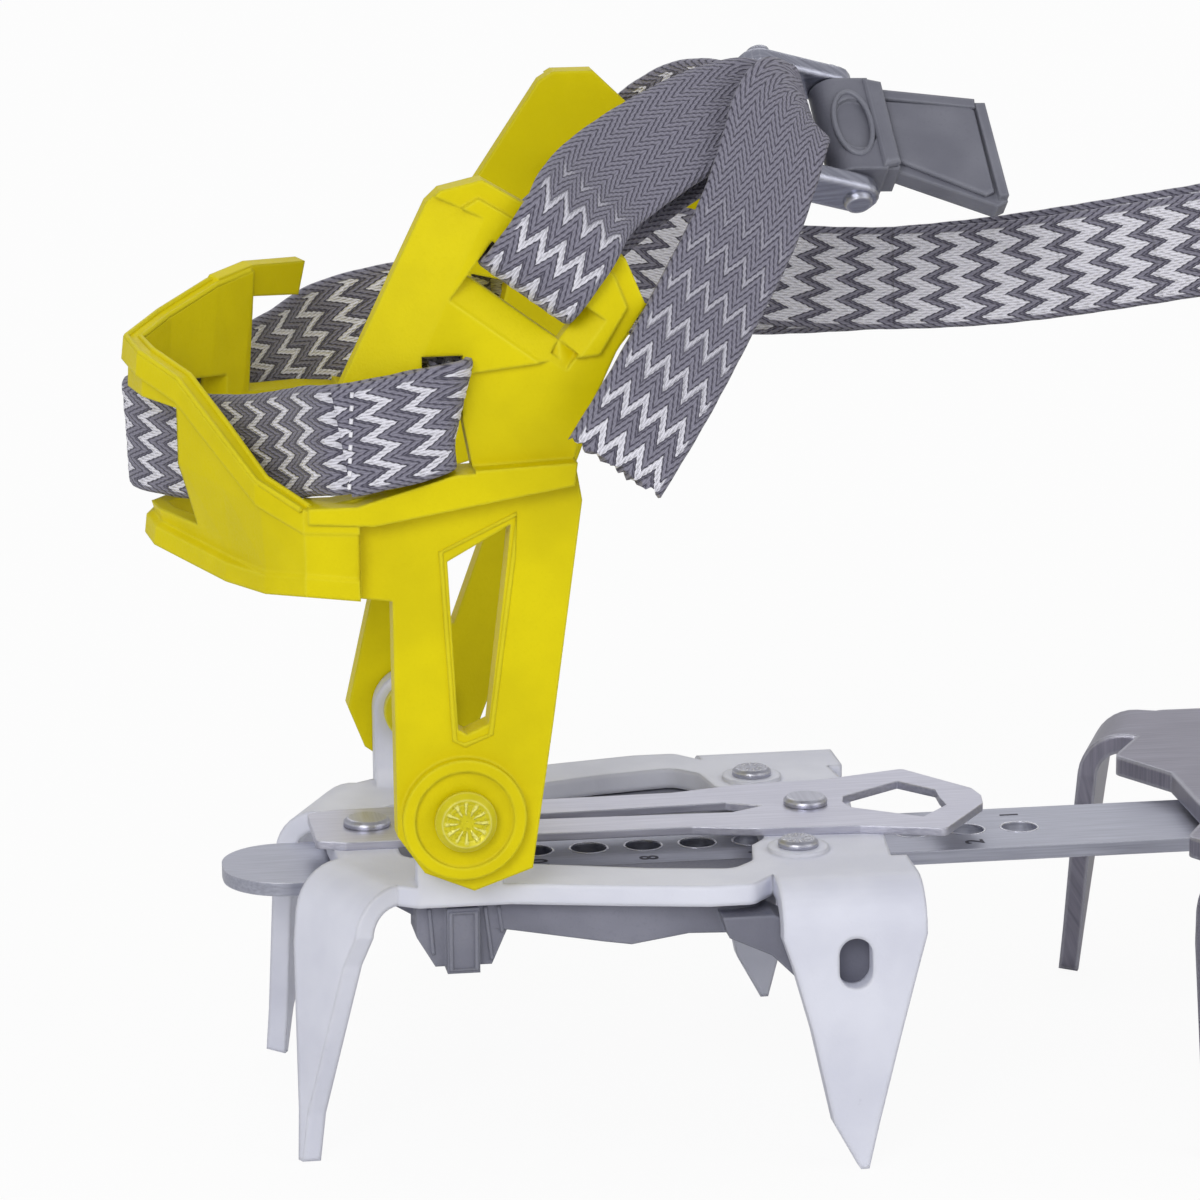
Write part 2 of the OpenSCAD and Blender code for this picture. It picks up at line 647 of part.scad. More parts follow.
// Webbing
up_dir = [0, 0, 1];
module rear_strap() {
    near = [0.25, 0, 1];
    far = [-0.1, 0, 1];
    route = [
        [-14, -27.4, 107, near], [-8, -27.4, 108, near], [-3.6, -28, 108.7, near],
        [-2.6, -31, 108.8, near], [-3.6, -34.2, 108.7, near], [-8, -35.2, 107.8, near],
        [-14, -35.2, 106.8, near], [-17.6, -34.4, 106.3, up_dir], [-20, -30.6, 105.5, up_dir],
        [-21.9, -26, 104.2, up_dir], [-26.2, -18, 102, up_dir], [-31, -9.4, 100.4, up_dir],
        [-36.4, -3, 99.8, up_dir], [-41.4, 4, 99.8, up_dir], [-41, 9, 100, far],
        [-34, 16.6, 100.8, far], [-26, 24.2, 102.4, far], [-18.6, 31.6, 104.2, far],
        [-11, 37.8, 107, far], [0, 38.6, 109.4, far], [14, 38.6, 110.6, far]
    ];
    color(webbing) placed() ribbon([for (r = route) concat([r[0], r[1], r[2]], r[3])]);
}

near_w = [0.804, 0, -0.595];
far_w = [0.65, 0, -0.76];
buckle_w = [0.053, -0.742, -0.668];
module buckle_strap() {
    route = [
        [48.1, -4.9, 141.9, buckle_w], [45, -5.2, 142, buckle_w], [42.2, -6.2, 142.9, buckle_w],
        [36, -10.2, 141.6, mix(near_w, buckle_w, 0.8)],
        [28, -16, 138.4, mix(near_w, buckle_w, 0.5)],
        [19.6, -22.4, 134, mix(near_w, buckle_w, 0.2)], [13, -26.8, 129.4, near_w],
        [10, -28.8, 126.6, near_w], [9.4, -31, 125.6, near_w],
        [9.8, -34.4, 126.4, near_w], [12.6, -35.3, 130.2, near_w], [15.6, -34.8, 134.4, near_w],
        [17.6, -31.6, 136.8, near_w], [21.4, -25.8, 139, mix(near_w, buckle_w, 0.2)],
        [29, -19.4, 142.4, mix(near_w, buckle_w, 0.5)],
        [37.6, -13.8, 145.6, mix(near_w, buckle_w, 0.8)], [44.6, -9.8, 146.9, buckle_w],
        [47.5, -8.8, 146, buckle_w], [49.7, -7, 144.3, buckle_w]
    ];
    color(webbing) placed() ribbon([for (r = route) concat([r[0], r[1], r[2]], r[3])]);
}

module ankle_strap() {
    route = [
        [24.6, 26.2, 124.2, far_w], [27.6, 27, 126.8, far_w], [30.2, 31, 129.6, far_w],
        [32.2, 34.6, 131.4, far_w], [36, 35.3, 134.6, far_w], [39.8, 33, 138, far_w],
        [43, 25, 140.8, [0.4, 0, -0.92]], [46.4, 14, 141.4, [0.15, -0.1, -0.98]],
        [48.7, 4.6, 138.9, [0.08, -0.35, -0.93]], [50.4, -1.8, 139.2, buckle_w],
        [52.3, -4.6, 142, buckle_w]
    ];
    color(webbing) placed() ribbon([for (r = route) concat([r[0], r[1], r[2]], r[3])]);
}

module tail_strap() {
    tail_w = [0.82, 0, -0.57];
    route = [
        [52.9, -5.7, 143.2, buckle_w], [52.3, -8.3, 145.4, mix(buckle_w, tail_w, 0.1)],
        [50.2, -10.8, 146.8, mix(buckle_w, tail_w, 0.35)],
        [47.8, -14.8, 144.8, mix(buckle_w, tail_w, 0.65)],
        [45.2, -19.4, 139.6, mix(buckle_w, tail_w, 0.9)], [41, -25, 131.8, tail_w],
        [34, -32, 121.8, tail_w], [27, -38, 112, tail_w], [20.2, -41.5, 102.6, tail_w]
    ];
    color(webbing) placed() ribbon([for (r = route) concat([r[0], r[1], r[2]], r[3])]);
}

// Buckle: ring, pin and cam lever, drawn about the ring's middle
buckle_at = [52, -5, 142.3];
buckle_turn = [-46, 16, 19];
lever_turn = -18.5;
module buckle_place() {
    placed() translate(buckle_at) rotate(buckle_turn) children();
}
ring_half_w = ring_in_w / 2 + ring_t;
pin_x = ring_in_l / 2 + 2.6;
module buckle_ring() {
    color(bare_steel) buckle_place() difference() {
        union() {
            translate([0, ring_t / 2, 0]) rotate([90, 0, 0]) linear_extrude(ring_t)
                difference() {
                    offset(r = 2.4, $fn = 32) translate([-ring_in_l / 2 - ring_t + 2.4, 2.4 - ring_half_w])
                        square([pin_x + ring_in_l / 2 + ring_t - 2.4, 2 * ring_half_w - 4.8]);
                    translate([-ring_in_l / 2, -ring_in_w / 2]) square([pin_x + ring_in_l, ring_in_w]);
                }
            translate([-ring_in_l / 2 + 1, 0, ring_half_w - 0.6]) cylinder(r = 1.7, h = 2.2);
        }
        translate([pin_x, 0, -ring_half_w - 1]) cylinder(r = pin_r + 0.02, h = 2 * ring_half_w + 2);
    }
}

module buckle_pin() {
    color(bare_steel) buckle_place() translate([pin_x, 0, 0]) rotate_extrude()
        polygon([
            [0, -ring_half_w - 1], [1.8, -ring_half_w - 1], [2.1, -ring_half_w - 0.5],
            [2.1, -ring_half_w - 0.05], [pin_r, -ring_half_w - 0.05],
            [pin_r, ring_half_w + 0.05], [2.1, ring_half_w + 0.05], [2.1, ring_half_w + 0.5],
            [1.8, ring_half_w + 1], [0, ring_half_w + 1]]);
}

tab_low = 13.6;
tab_high = 5.2;
module buckle_lever() {
    half = ring_in_w / 2 - 0.3;
    color(grey_plastic) buckle_place() translate([pin_x, 0, 0]) rotate([0, 0, lever_turn]) difference() {
        union() {
            translate([0, 0, -half]) cylinder(r = 3.4, h = 2 * half);
            translate([0, -3.4, -half]) cube([4.4, 6.8, 2 * half]);
            translate([4, -2.6, 0.6 - half]) cube([2.4, 5.2, 2 * half - 1.2]);
            translate([0, 1.2, 0]) rotate([90, 0, 0]) linear_extrude(2.6) polygon([
                [5.5, 1.4 - half], [tab_len - 1.6, -tab_low], [tab_len, 0.8 - tab_low],
                [tab_len + 0.2, tab_high - 0.8], [tab_len - 1, tab_high], [5.5, half - 1]]);
            translate([tab_len - 1.5, -2.6, 1 - tab_low]) cube([1.4, 2, tab_low + tab_high - 2]);
            translate([5.6, 0, half - 1.9])
                rotate([0, atan2(half - 1 - tab_high, tab_len - 6.5), 0])
                    translate([0, -2.4, -0.9]) cube([tab_len - 7, 1.4, 1.6]);
        }
        translate([0, 0, -half - 1]) cylinder(r = pin_r + pivot_gap, h = 2 * half + 2);
        translate([1.2, -2.8, 0]) rotate([90, 0, 0]) scale([0.7, 1, 1]) cylinder(r = 4.4, h = 2);
    }
}

// Long strap from the basket to the toe ring and back
module outgoing_strap() {
    route = [
        [3, 40.7, 110.2, up_dir], [16, 40.6, 111.3, up_dir], [34, 38.6, 112.4, up_dir],
        [58, 34, 112.6, up_dir], [84, 25, 115.4, up_dir], [110, 15.4, 120.4, up_dir],
        [132, 7.6, 125.2, up_dir], [148, 3.6, 128.2, up_dir], [157.4, 2.3, 129, up_dir]
    ];
    color(webbing) placed() ribbon([for (r = route) concat([r[0], r[1], r[2]], r[3])]);
}
module returning_strap() {
    route = [
        [157.4, -2.3, 129, up_dir], [148, -1.6, 128.2, up_dir], [132, 2.8, 125.2, up_dir],
        [110, 9.6, 120.4, up_dir], [84, 17.4, 116.2, up_dir], [60, 22.6, 115.6, up_dir],
        [42, 23.2, 118.4, mix(up_dir, -far_w, 0.4)], [31, 23.9, 121.6, mix(up_dir, -far_w, 0.8)],
        [25.6, 24.2, 123.8, -far_w]
    ];
    color(webbing) placed() ribbon([for (r = route) concat([r[0], r[1], r[2]], r[3])]);
}

// Toe ring on top of the toe basket: its rear post carries the long strap
toe_ring_x = 158;
ring_post_r = 1.3;
module toe_ring() {
    color(bare_steel) placed() translate([toe_ring_x, 0, toe_ring_z]) {
        translate([0, 0, -10]) cylinder(r = ring_post_r, h = 20);
        translate([12, 0, -10]) cylinder(r = ring_post_r, h = 20);
        for (z = [-10, 10]) translate([0, 0, z]) rotate([0, 90, 0]) cylinder(r = ring_post_r, h = 12);
        for (x = [0, 12]) for (z = [-10, 10]) translate([x, 0, z]) sphere(r = ring_post_r);
    }
}

// Front frame: a long plate with two windows, two ears and eight points
front_outline = [
    [bar_hook_x - 11, 0],
    [bar_hook_x - 11, bar_w / 2 + 1],
    [front_rear_x - 2, 22],
    [front_rear_x + 5, front_rear_half_w - 8],
    [front_rear_x + 10.4, front_rear_half_w + 4.6],
    [toe_pivot_x - ear_w, front_half_w],
    [toe_pivot_x + ear_w, front_half_w],
    [side_spike_x - 13, side_spike_half_w - bend_out + 1.5],
    [side_spike_x - 7.5, side_spike_half_w - bend_out - 3.5],
    [side_spike_x + 7.5, side_spike_half_w - bend_out - 3.5],
    [front_edge_x - 3, front_point_half_w + 10],
    [front_edge_x - 3, 0]
];
front_window = [
    [toe_pivot_x - 24, 0], [toe_pivot_x - 24, front_half_w - 32],
    [toe_pivot_x - 19, front_half_w - 22], [toe_pivot_x - 10, front_half_w - 15],
    [toe_pivot_x + 12, front_half_w - 15], [toe_pivot_x + 22, front_half_w - 21],
    [toe_pivot_x + 24, front_half_w - 32], [toe_pivot_x + 24, 0]
];
front_slot = [
    [front_edge_x - 32, 0], [front_edge_x - 32, 14], [front_edge_x - 28, 20],
    [front_edge_x - 18, 18], [front_edge_x - 14, 10], [front_edge_x - 14, 0]
];
module front_side_spike() {
    translate([side_spike_x, -(side_spike_half_w - bend_out), 0]) rotate([0, 0, -90])
        spike(8, 19, [
            [0.6, -9.5, 9.5], [5, -8.4, 8.6], [14, -6.2, 6], [27, -3.2, 2.4],
            [blade_length(4), -0.6, 0.6]], 86);
}
module front_rear_spike() {
    translate([front_rear_x + 5, -front_rear_half_w + 1.6, 0]) rotate([0, 0, 180 + 22])
        spike(9, 15, [
            [0.6, -7.5, 7.5], [5, -7, 6.2], [27.7, -1.4, 1.4], [blade_length(6), -0.6, 0.6]], 84);
}
module front_point() {
    translate([front_edge_x, front_point_half_w, 0]) spike(9, 16, [
        [0.6, -8, 8], [8, -7, 6.4], [20, -4.6, 3.4], [front_point_len, -1.4, 1]], front_point_bend);
}
module front_frame() {
    color(steel_white) placed() difference() {
        union() {
            flat_sheet(frame_low, sheet_t, both_halves(front_outline));
            both_sides() {
                pivot_ear(toe_pivot_x, heel_pivot_z, front_half_w);
                front_side_spike();
                front_rear_spike();
                front_point();
            }
        }
        flat_sheet(frame_low - 1, sheet_t + 2, both_halves(front_window), 3);
        flat_sheet(frame_low - 1, sheet_t + 2, both_halves(front_slot), 2);
        translate([bar_hook_x, 0, frame_low - 1]) cylinder(r = hook_w / 2 + 0.7, h = sheet_t + 2);
        translate([bar_hook_x - hook_bar_w / 2 - 0.5, -1.5, frame_low - 1])
            cube([hook_bar_w + 1, 3, sheet_t + 2]);
        both_sides() translate([front_rivet_x, front_rivet_y, frame_low - 1])
            cylinder(r = plate_shank + 0.05, h = sheet_t + 3);
    }
}

front_rivet_x = toe_pivot_x + 29;
front_rivet_y = front_half_w - 21;
front_head_r = 2.9;
module front_snow_plate() {
    outline = [
        [toe_pivot_x - 27, 0], [toe_pivot_x - 27, front_half_w - 31],
        [toe_pivot_x - 21, front_half_w - 18], [toe_pivot_x - 10, front_half_w - 10],
        [toe_pivot_x + 12, front_half_w - 10], [front_rivet_x - 5, front_rivet_y + 6],
        [front_rivet_x + 4, front_rivet_y + 2], [front_rivet_x + 4, 0]
    ];
    hollow = [
        [toe_pivot_x - 19, 0], [toe_pivot_x - 19, front_half_w - 34],
        [toe_pivot_x - 14, front_half_w - 25], [toe_pivot_x - 7, front_half_w - 20],
        [toe_pivot_x + 10, front_half_w - 20], [toe_pivot_x + 17, front_half_w - 25],
        [toe_pivot_x + 19, front_half_w - 34], [toe_pivot_x + 19, 0]
    ];
    color(grey_plastic) placed() difference() {
        flat_sheet(frame_low - 5, 5 - seat_gap, both_halves(outline), 2);
        flat_sheet(frame_low - 6, 7, both_halves(hollow), 3);
        both_sides() translate([front_rivet_x, front_rivet_y, frame_low - 6])
            cylinder(r = front_head_r + 0.7, h = 8);
    }
}
module front_plate_rivet_near() {
    color(bare_steel) placed() translate([front_rivet_x, -front_rivet_y, 0])
        plate_rivet(frame_low, frame_top, plate_shank, front_head_r);
}
module front_plate_rivet_far() {
    color(bare_steel) placed() translate([front_rivet_x, front_rivet_y, 0])
        plate_rivet(frame_low, frame_top, plate_shank, front_head_r);
}

// Toe basket: two side arms, a band round the toe and a strap carrier over the instep
toe_shift = front_half_w - ear_out;
toe_leg_in = leg_in + toe_shift;
module toe_side() {
    difference() {
        union() {
            side_sheet(toe_leg_in, leg_t) difference() {
                polygon([
                    [-9, -2], [-5.5, -8], [0, -10.4], [8, -8.6], [14, -1], [34, 8], [46, 12],
                    [46, 27], [28, 26], [16, 24], [10, 36], [5, 46], [-6, 46], [-8, 30]]);
                polygon([[-3.4, 36], [-3.4, 14], [3, 12], [9.4, 17], [4, 36]]);
            }
            translate([0, toe_leg_in + leg_t - 0.01, 0]) rotate([-90, 0, 0])
                cylinder(r = boss_r, h = boss_h);
        }
        translate([0, toe_leg_in - 1, 0]) rotate([-90, 0, 0])
            cylinder(r = rivet_r + pivot_gap, h = leg_t + boss_h + 3);
    }
}
toe_band_half = [
    [40, toe_leg_in + 3.8, 11, 27], [50, toe_leg_in + 1.6, 12.6, 28],
    [58, toe_leg_in - 4.4, 13.4, 28.6], [65, toe_leg_in - 13.4, 14, 29],
    [70, toe_leg_in - 25.4, 14.4, 29.4], [72.4, toe_leg_in - 38.4, 14.6, 29.6]
];
toe_band_rows = concat([for (r = toe_band_half) [r[0], -r[1], r[2], r[3]]],
    [for (r = reverse(toe_band_half)) r]);
instep_half = [
    [0, toe_leg_in + 3.8, 40, 46, 5.5], [0.4, toe_leg_in + 2.2, 52, 56, 5.5],
    [1.4, toe_leg_in - 3.4, 63, 66.4, 5.5], [2.4, toe_leg_in - 12.8, 71, 73.4, 5.3],
    [3.4, toe_leg_in - 25.4, 75.4, 77.4, 4.7], [4, toe_leg_in - 38.4, 77, 78.9, 4.1]
];
instep_rows = concat([for (r = instep_half) [r[0], -r[1], r[2], r[3], r[4]]],
    [for (r = reverse(instep_half)) r]);
module toe_basket() {
    color(yellow) placed() translate([toe_pivot_x, 0, heel_pivot_z]) {
        both_sides() toe_side();
        skin([for (i = [0 : len(toe_band_rows) - 1])
            let (
                r = toe_band_rows[i],
                a = toe_band_rows[max(i - 1, 0)],
                b = toe_band_rows[min(i + 1, len(toe_band_rows) - 1)],
                n = unit([a[1] - b[1], b[0] - a[0], 0]),
                low = [r[0], r[1], r[2]],
                high = [r[0], r[1], r[3]]
            )
            [low + n * cup_wall, high + n * cup_wall, high, low]]);
        skin([for (i = [0 : len(instep_rows) - 1])
            let (
                r = instep_rows[i],
                a = instep_rows[max(i - 1, 0)],
                b = instep_rows[min(i + 1, len(instep_rows) - 1)],
                n = unit([0, a[3] - b[3], b[1] - a[1]]),
                rear = [r[0] - r[4], r[1], r[3]],
                front = [r[0] + r[4], r[1], r[3]]
            )
            [rear, front, front - n * 3, rear - n * 3]]);
    }
}

module toe_pivot_rivet() {
    translate([0, toe_shift, 0]) heel_pivot_rivet();
}
module toe_pivot_rivet_near() {
    color(yellow) placed() mirror([0, 1, 0]) translate([toe_pivot_x, 0, heel_pivot_z])
        toe_pivot_rivet();
}
module toe_pivot_rivet_far() {
    color(yellow) placed() translate([toe_pivot_x, 0, heel_pivot_z]) toe_pivot_rivet();
}

heel_frame();
heel_snow_plate();
heel_plate_rivet_near();
heel_plate_rivet_far();
heel_pivot_rivet_near();
heel_pivot_rivet_far();
lock_plate();
lock_stud();
lock_rivet();
linking_bar();
heel_basket();
rear_strap();
buckle_strap();
ankle_strap();
tail_strap();
buckle_ring();
buckle_pin();
buckle_lever();
outgoing_strap();
returning_strap();
front_frame();
front_snow_plate();
front_plate_rivet_near();
front_plate_rivet_far();
toe_basket();
toe_pivot_rivet_near();
toe_pivot_rivet_far();
toe_ring();
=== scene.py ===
# Look of the strap-on crampon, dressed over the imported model. Metres, in the part's own frame.
import bpy
import bmesh
import math
from mathutils import Vector, Matrix, noise


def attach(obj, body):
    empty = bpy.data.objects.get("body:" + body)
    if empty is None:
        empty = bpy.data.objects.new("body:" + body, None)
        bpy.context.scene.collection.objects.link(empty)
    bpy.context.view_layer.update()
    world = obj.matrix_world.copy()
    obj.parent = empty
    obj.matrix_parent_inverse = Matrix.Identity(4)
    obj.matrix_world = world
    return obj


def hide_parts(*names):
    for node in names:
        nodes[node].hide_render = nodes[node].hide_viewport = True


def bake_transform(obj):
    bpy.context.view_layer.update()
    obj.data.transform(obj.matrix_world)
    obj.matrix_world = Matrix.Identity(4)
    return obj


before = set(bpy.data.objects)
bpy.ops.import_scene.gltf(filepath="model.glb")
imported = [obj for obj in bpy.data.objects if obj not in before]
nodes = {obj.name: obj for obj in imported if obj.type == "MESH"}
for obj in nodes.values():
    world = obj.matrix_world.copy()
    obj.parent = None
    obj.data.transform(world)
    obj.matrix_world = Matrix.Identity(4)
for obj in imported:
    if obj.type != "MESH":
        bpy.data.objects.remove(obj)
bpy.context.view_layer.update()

# Places are written in millimetres, with x from the heel pivot and z from the ground.
# The frame's own x starts at the middle of the part.
MM = 0.001
MID_X = 104.9767


def at(x, y, z):
    return Vector(((x - MID_X) * MM, y * MM, z * MM))


def add_object(name, data):
    made = bpy.data.objects.new(name, data)
    bpy.context.scene.collection.objects.link(made)
    return made


# ---------------------------------------------------------------- camera
# Angles, place and focal length as solved from the photograph
YAW, PITCH, ROLL = math.radians(8.5), math.radians(13.93), math.radians(0.38)
CAMERA_AT = at(-89.24, -759.03, 264.19)
FOCAL_PIXELS, PHOTO_PIXELS, SENSOR_MM = 5500, 1200, 36
CLIP_NEAR, CLIP_FAR = 0.05, 20


def add_camera():
    ahead = Vector((math.sin(YAW) * math.cos(PITCH), math.cos(YAW) * math.cos(PITCH),
                    -math.sin(PITCH)))
    level = Vector((math.cos(YAW), -math.sin(YAW), 0))
    down = ahead.cross(level)
    image_right = math.cos(ROLL) * level + math.sin(ROLL) * down
    image_down = -math.sin(ROLL) * level + math.cos(ROLL) * down
    data = bpy.data.cameras.new("camera")
    data.sensor_width = SENSOR_MM
    data.lens = SENSOR_MM * FOCAL_PIXELS / PHOTO_PIXELS
    data.clip_start = CLIP_NEAR
    data.clip_end = CLIP_FAR
    camera = add_object("camera", data)
    camera.matrix_world = Matrix.Translation(CAMERA_AT) @ Matrix(
        (image_right, -image_down, -ahead)).transposed().to_4x4()
    bpy.context.scene.camera = camera


add_camera()
bpy.context.scene.view_settings.view_transform = "Standard"


# ---------------------------------------------------------------- node helpers
def linear(code):
    """Linear RGBA of a written sRGB colour such as D8DAE8."""
    out = []
    for i in (0, 2, 4):
        c = int(code[i:i + 2], 16) / 255
        out.append(c / 12.92 if c <= 0.04045 else ((c + 0.055) / 1.055) ** 2.4)
    return (*out, 1)


class Graph:
    """A material's node tree with short calls for the nodes that it uses."""

    # Cosines between the true and the rounded normal where an edge begins and is full
    EDGE_BEGINS, EDGE_FULL = 0.995, 0.9

    def __init__(self, name):
        self.material = bpy.data.materials.new(name)
        self.material.use_nodes = True
        self.tree = self.material.node_tree
        self.shader = self.tree.nodes["Principled BSDF"]
        self.place = self.node("ShaderNodeTexCoord").outputs["Object"]

    def node(self, kind, **values):
        made = self.tree.nodes.new(kind)
        for key, value in values.items():
            setattr(made, key, value)
        return made

    def put(self, value, socket):
        """Link another node's socket, or set a plain value."""
        if isinstance(value, bpy.types.NodeSocket):
            self.tree.links.new(value, socket)
        else:
            socket.default_value = value

    def math(self, operation, *values):
        made = self.node("ShaderNodeMath", operation=operation)
        for value, socket in zip(values, made.inputs):
            self.put(value, socket)
        return made.outputs[0]

    def plus(self, a, b):
        return self.math("ADD", a, b)

    def minus(self, a, b):
        return self.math("SUBTRACT", a, b)

    def times(self, a, b):
        return self.math("MULTIPLY", a, b)

    def over(self, a, b):
        return self.math("DIVIDE", a, b)

    def ramp(self, value, low, high, out_low=0.0, out_high=1.0):
        """A smooth step from low to high."""
        made = self.node("ShaderNodeMapRange", interpolation_type="SMOOTHSTEP")
        for v, name in ((value, "Value"), (low, "From Min"), (high, "From Max"),
                        (out_low, "To Min"), (out_high, "To Max")):
            self.put(v, made.inputs[name])
        return made.outputs["Result"]

    def noise(self, scale, detail=3.0, rough=0.55, stretch=None):
        where = self.place
        if stretch:
            mapping = self.node("ShaderNodeMapping")
            mapping.inputs["Scale"].default_value = stretch
            self.put(where, mapping.inputs["Vector"])
            where = mapping.outputs["Vector"]
        made = self.node("ShaderNodeTexNoise")
        self.put(where, made.inputs["Vector"])
        made.inputs["Scale"].default_value = scale
        made.inputs["Detail"].default_value = detail
        made.inputs["Roughness"].default_value = rough
        return made.outputs["Fac"]

    def mix(self, factor, a, b):
        made = self.node("ShaderNodeMix", data_type="RGBA")
        for value, index in ((factor, 0), (a, 6), (b, 7)):
            self.put(value, made.inputs[index])
        return made.outputs[2]

    def lay(self, tone, mask, share, code):
        """A written colour laid over a tone, by a share of the mask."""
        return self.mix(self.times(mask, share), tone, linear(code))

    def rounded(self, radius):
        """Normals rounded at the edges by this radius, and a mask that is 1 on an edge."""
        made = self.node("ShaderNodeBevel", samples=4)
        made.inputs["Radius"].default_value = radius
        true = self.node("ShaderNodeNewGeometry").outputs["Normal"]
        dot = self.node("ShaderNodeVectorMath", operation="DOT_PRODUCT")
        self.put(made.outputs["Normal"], dot.inputs[0])
        self.put(true, dot.inputs[1])
        edge = self.ramp(dot.outputs["Value"], self.EDGE_BEGINS, self.EDGE_FULL)
        return made.outputs["Normal"], edge

    def bump(self, height, distance, strength, normal=None):
        made = self.node("ShaderNodeBump")
        self.put(height, made.inputs["Height"])
        made.inputs["Distance"].default_value = distance
        made.inputs["Strength"].default_value = strength
        if normal is not None:
            self.put(normal, made.inputs["Normal"])
        return made.outputs["Normal"]

    def finish(self, colour, rough, normal, metal=0.0, **sockets):
        """Feed the shader. Its other sockets are named with _ for a space."""
        self.put(colour, self.shader.inputs["Base Color"])
        self.put(rough, self.shader.inputs["Roughness"])
        self.put(normal, self.shader.inputs["Normal"])
        self.shader.inputs["Metallic"].default_value = metal
        for name, value in sockets.items():
            self.shader.inputs[name.replace("_", " ")].default_value = value
        return self.material


# ---------------------------------------------------------------- finishes
def powder_coat():
    g = Graph("white_powder_coat")
    edge_normal, edge = g.rounded(1.1 * MM)
    cloud = g.noise(60)
    fine = g.noise(2600, detail=2)
    grime = g.ramp(g.noise(900, detail=5, rough=0.7), 0.66, 0.74)
    tone = g.mix(g.ramp(cloud, 0.3, 0.7), linear("CFD1E0"), linear("DDDFEC"))
    # Painted highlight: the rounded edges are laid a lighter white, standing in for light catching
    # them
    tone = g.lay(tone, edge, 0.5, "E9EAF4")
    tone = g.lay(tone, grime, 0.18, "A9AABA")
    normal = g.bump(fine, 0.05 * MM, 0.35, edge_normal)
    normal = g.bump(g.noise(420, detail=2), 0.12 * MM, 0.4, normal)
    return g.finish(tone, g.ramp(fine, 0.2, 0.8, 0.38, 0.5), normal, Specular_IOR_Level=0.5)


def steel(name, dark, light, rough_low, rough_high, along, radius):
    """Bare steel with brushing along the given axes."""
    g = Graph(name)
    edge_normal, edge = g.rounded(radius)
    stretch = [0.03 if axis in along else 1 for axis in "xyz"]
    brush = g.noise(2500, rough=0.6, stretch=stretch)
    cloud = g.noise(70, detail=4)
    tone = g.mix(g.ramp(brush, 0.25, 0.75), linear(dark), linear(light))
    tone = g.lay(tone, g.ramp(cloud, 0.45, 0.7), 0.25, dark)
    # Painted highlight: the rounded edges are laid near-white, standing in for light catching them
    tone = g.lay(tone, edge, 0.7, "E6E7F2")
    normal = g.bump(brush, 0.02 * MM, 0.35, edge_normal)
    return g.finish(tone, g.ramp(brush, 0.2, 0.8, rough_low, rough_high), normal, metal=0.85)


STAR_RAYS = 12


def rivet_head(name, dark, light, edge_highlight_tone, metal, rough, centre, level, reach):
    """Pressed rivet head with a star of short marks, out to reach from its centre.

    A level head's centre is its x and y, for both sides. An upright head's is its x and z.
    """
    g = Graph(name)
    edge_normal, edge = g.rounded(0.5 * MM)
    split = g.node("ShaderNodeSeparateXYZ")
    g.put(g.place, split.inputs[0])
    side = g.math("ABSOLUTE", split.outputs["Y"]) if level else split.outputs["Z"]
    u = g.minus(split.outputs["X"], (centre[0] - MID_X) * MM)
    v = g.minus(side, centre[1] * MM)
    radius = g.over(g.math("SQRT", g.plus(g.times(u, u), g.times(v, v))), reach * MM)
    angle = g.math("ARCTAN2", v, u)
    wobble = g.noise(900)
    rays = g.math("SINE", g.plus(g.times(angle, STAR_RAYS), g.times(wobble, 3)))
    ring = g.times(g.ramp(radius, 0.3, 0.42), g.ramp(radius, 0.95, 0.8))
    star = g.times(g.ramp(rays, 0.1, 0.9), ring)
    pits = g.times(g.ramp(g.noise(2600), 0.5, 0.7), g.ramp(radius, 1.0, 0.85))
    tone = g.mix(g.noise(500), linear(dark), linear(light))
    tone = g.lay(tone, star, 0.75, edge_highlight_tone)
    tone = g.lay(tone, pits, 0.35, dark)
    # Painted highlight: the head's rounded rim is laid in the highlight tone
    tone = g.lay(tone, edge, 0.7, edge_highlight_tone)
    height = g.plus(g.times(star, 0.8), g.times(pits, -0.5))
    normal = g.bump(height, 0.25 * MM, 0.8, edge_normal)
    return g.finish(tone, g.ramp(star, 0, 1, rough, rough - 0.12), normal, metal=metal)


def moulded(name, dark, light, edge_highlight_tone, rough, radius, grain, specular=0.4):
    """Moulded plastic with a fine spark-eroded grain."""
    g = Graph(name)
    edge_normal, edge = g.rounded(radius)
    cloud = g.noise(55)
    fine = g.noise(grain, detail=2, rough=0.6)
    tone = g.mix(g.ramp(cloud, 0.3, 0.7), linear(dark), linear(light))
    tone = g.lay(tone, g.ramp(fine, 0.56, 0.7), 0.22, dark)
    # Painted highlight: the rounded edges are laid in the highlight tone
    tone = g.lay(tone, edge, 0.55, edge_highlight_tone)
    normal = g.bump(fine, 0.09 * MM, 0.45, edge_normal)
    return g.finish(tone, g.ramp(fine, 0.3, 0.7, rough - 0.05, rough + 0.1), normal,
                    Specular_IOR_Level=specular)


def engraved():
    """Dark bottom of an engraved mark."""
    g = Graph("engraved_mark")
    fleck = g.noise(3000)
    tone = g.mix(fleck, linear("2E2D38"), linear("575664"))
    return g.finish(tone, g.ramp(fleck, 0.3, 0.7, 0.5, 0.75), g.bump(fleck, 0.05 * MM, 0.5),
                    metal=0.3)


# Webbing: zigzag bands of light yarn across a grey weave. The UV map holds millimetres
# across and along the strap, and the attribute bright says how far the light yarn shows.
# The material and the relief in the mesh share these sizes, in millimetres.
WEAVE_PERIOD, TOOTH, TOOTH_RISE, YARN = 6.2, 3.1, 3.5, 0.4
WEAVE_ROWS = 4
# The light band takes BAND of a period, and BAND_GAIN more for each 1 of bright
BAND, BAND_GAIN, BAND_HALF_W = 0.16, 0.2, 6.7
# How much of the zigzag steps from yarn to yarn. The rest runs straight.
STEPPED = 0.3


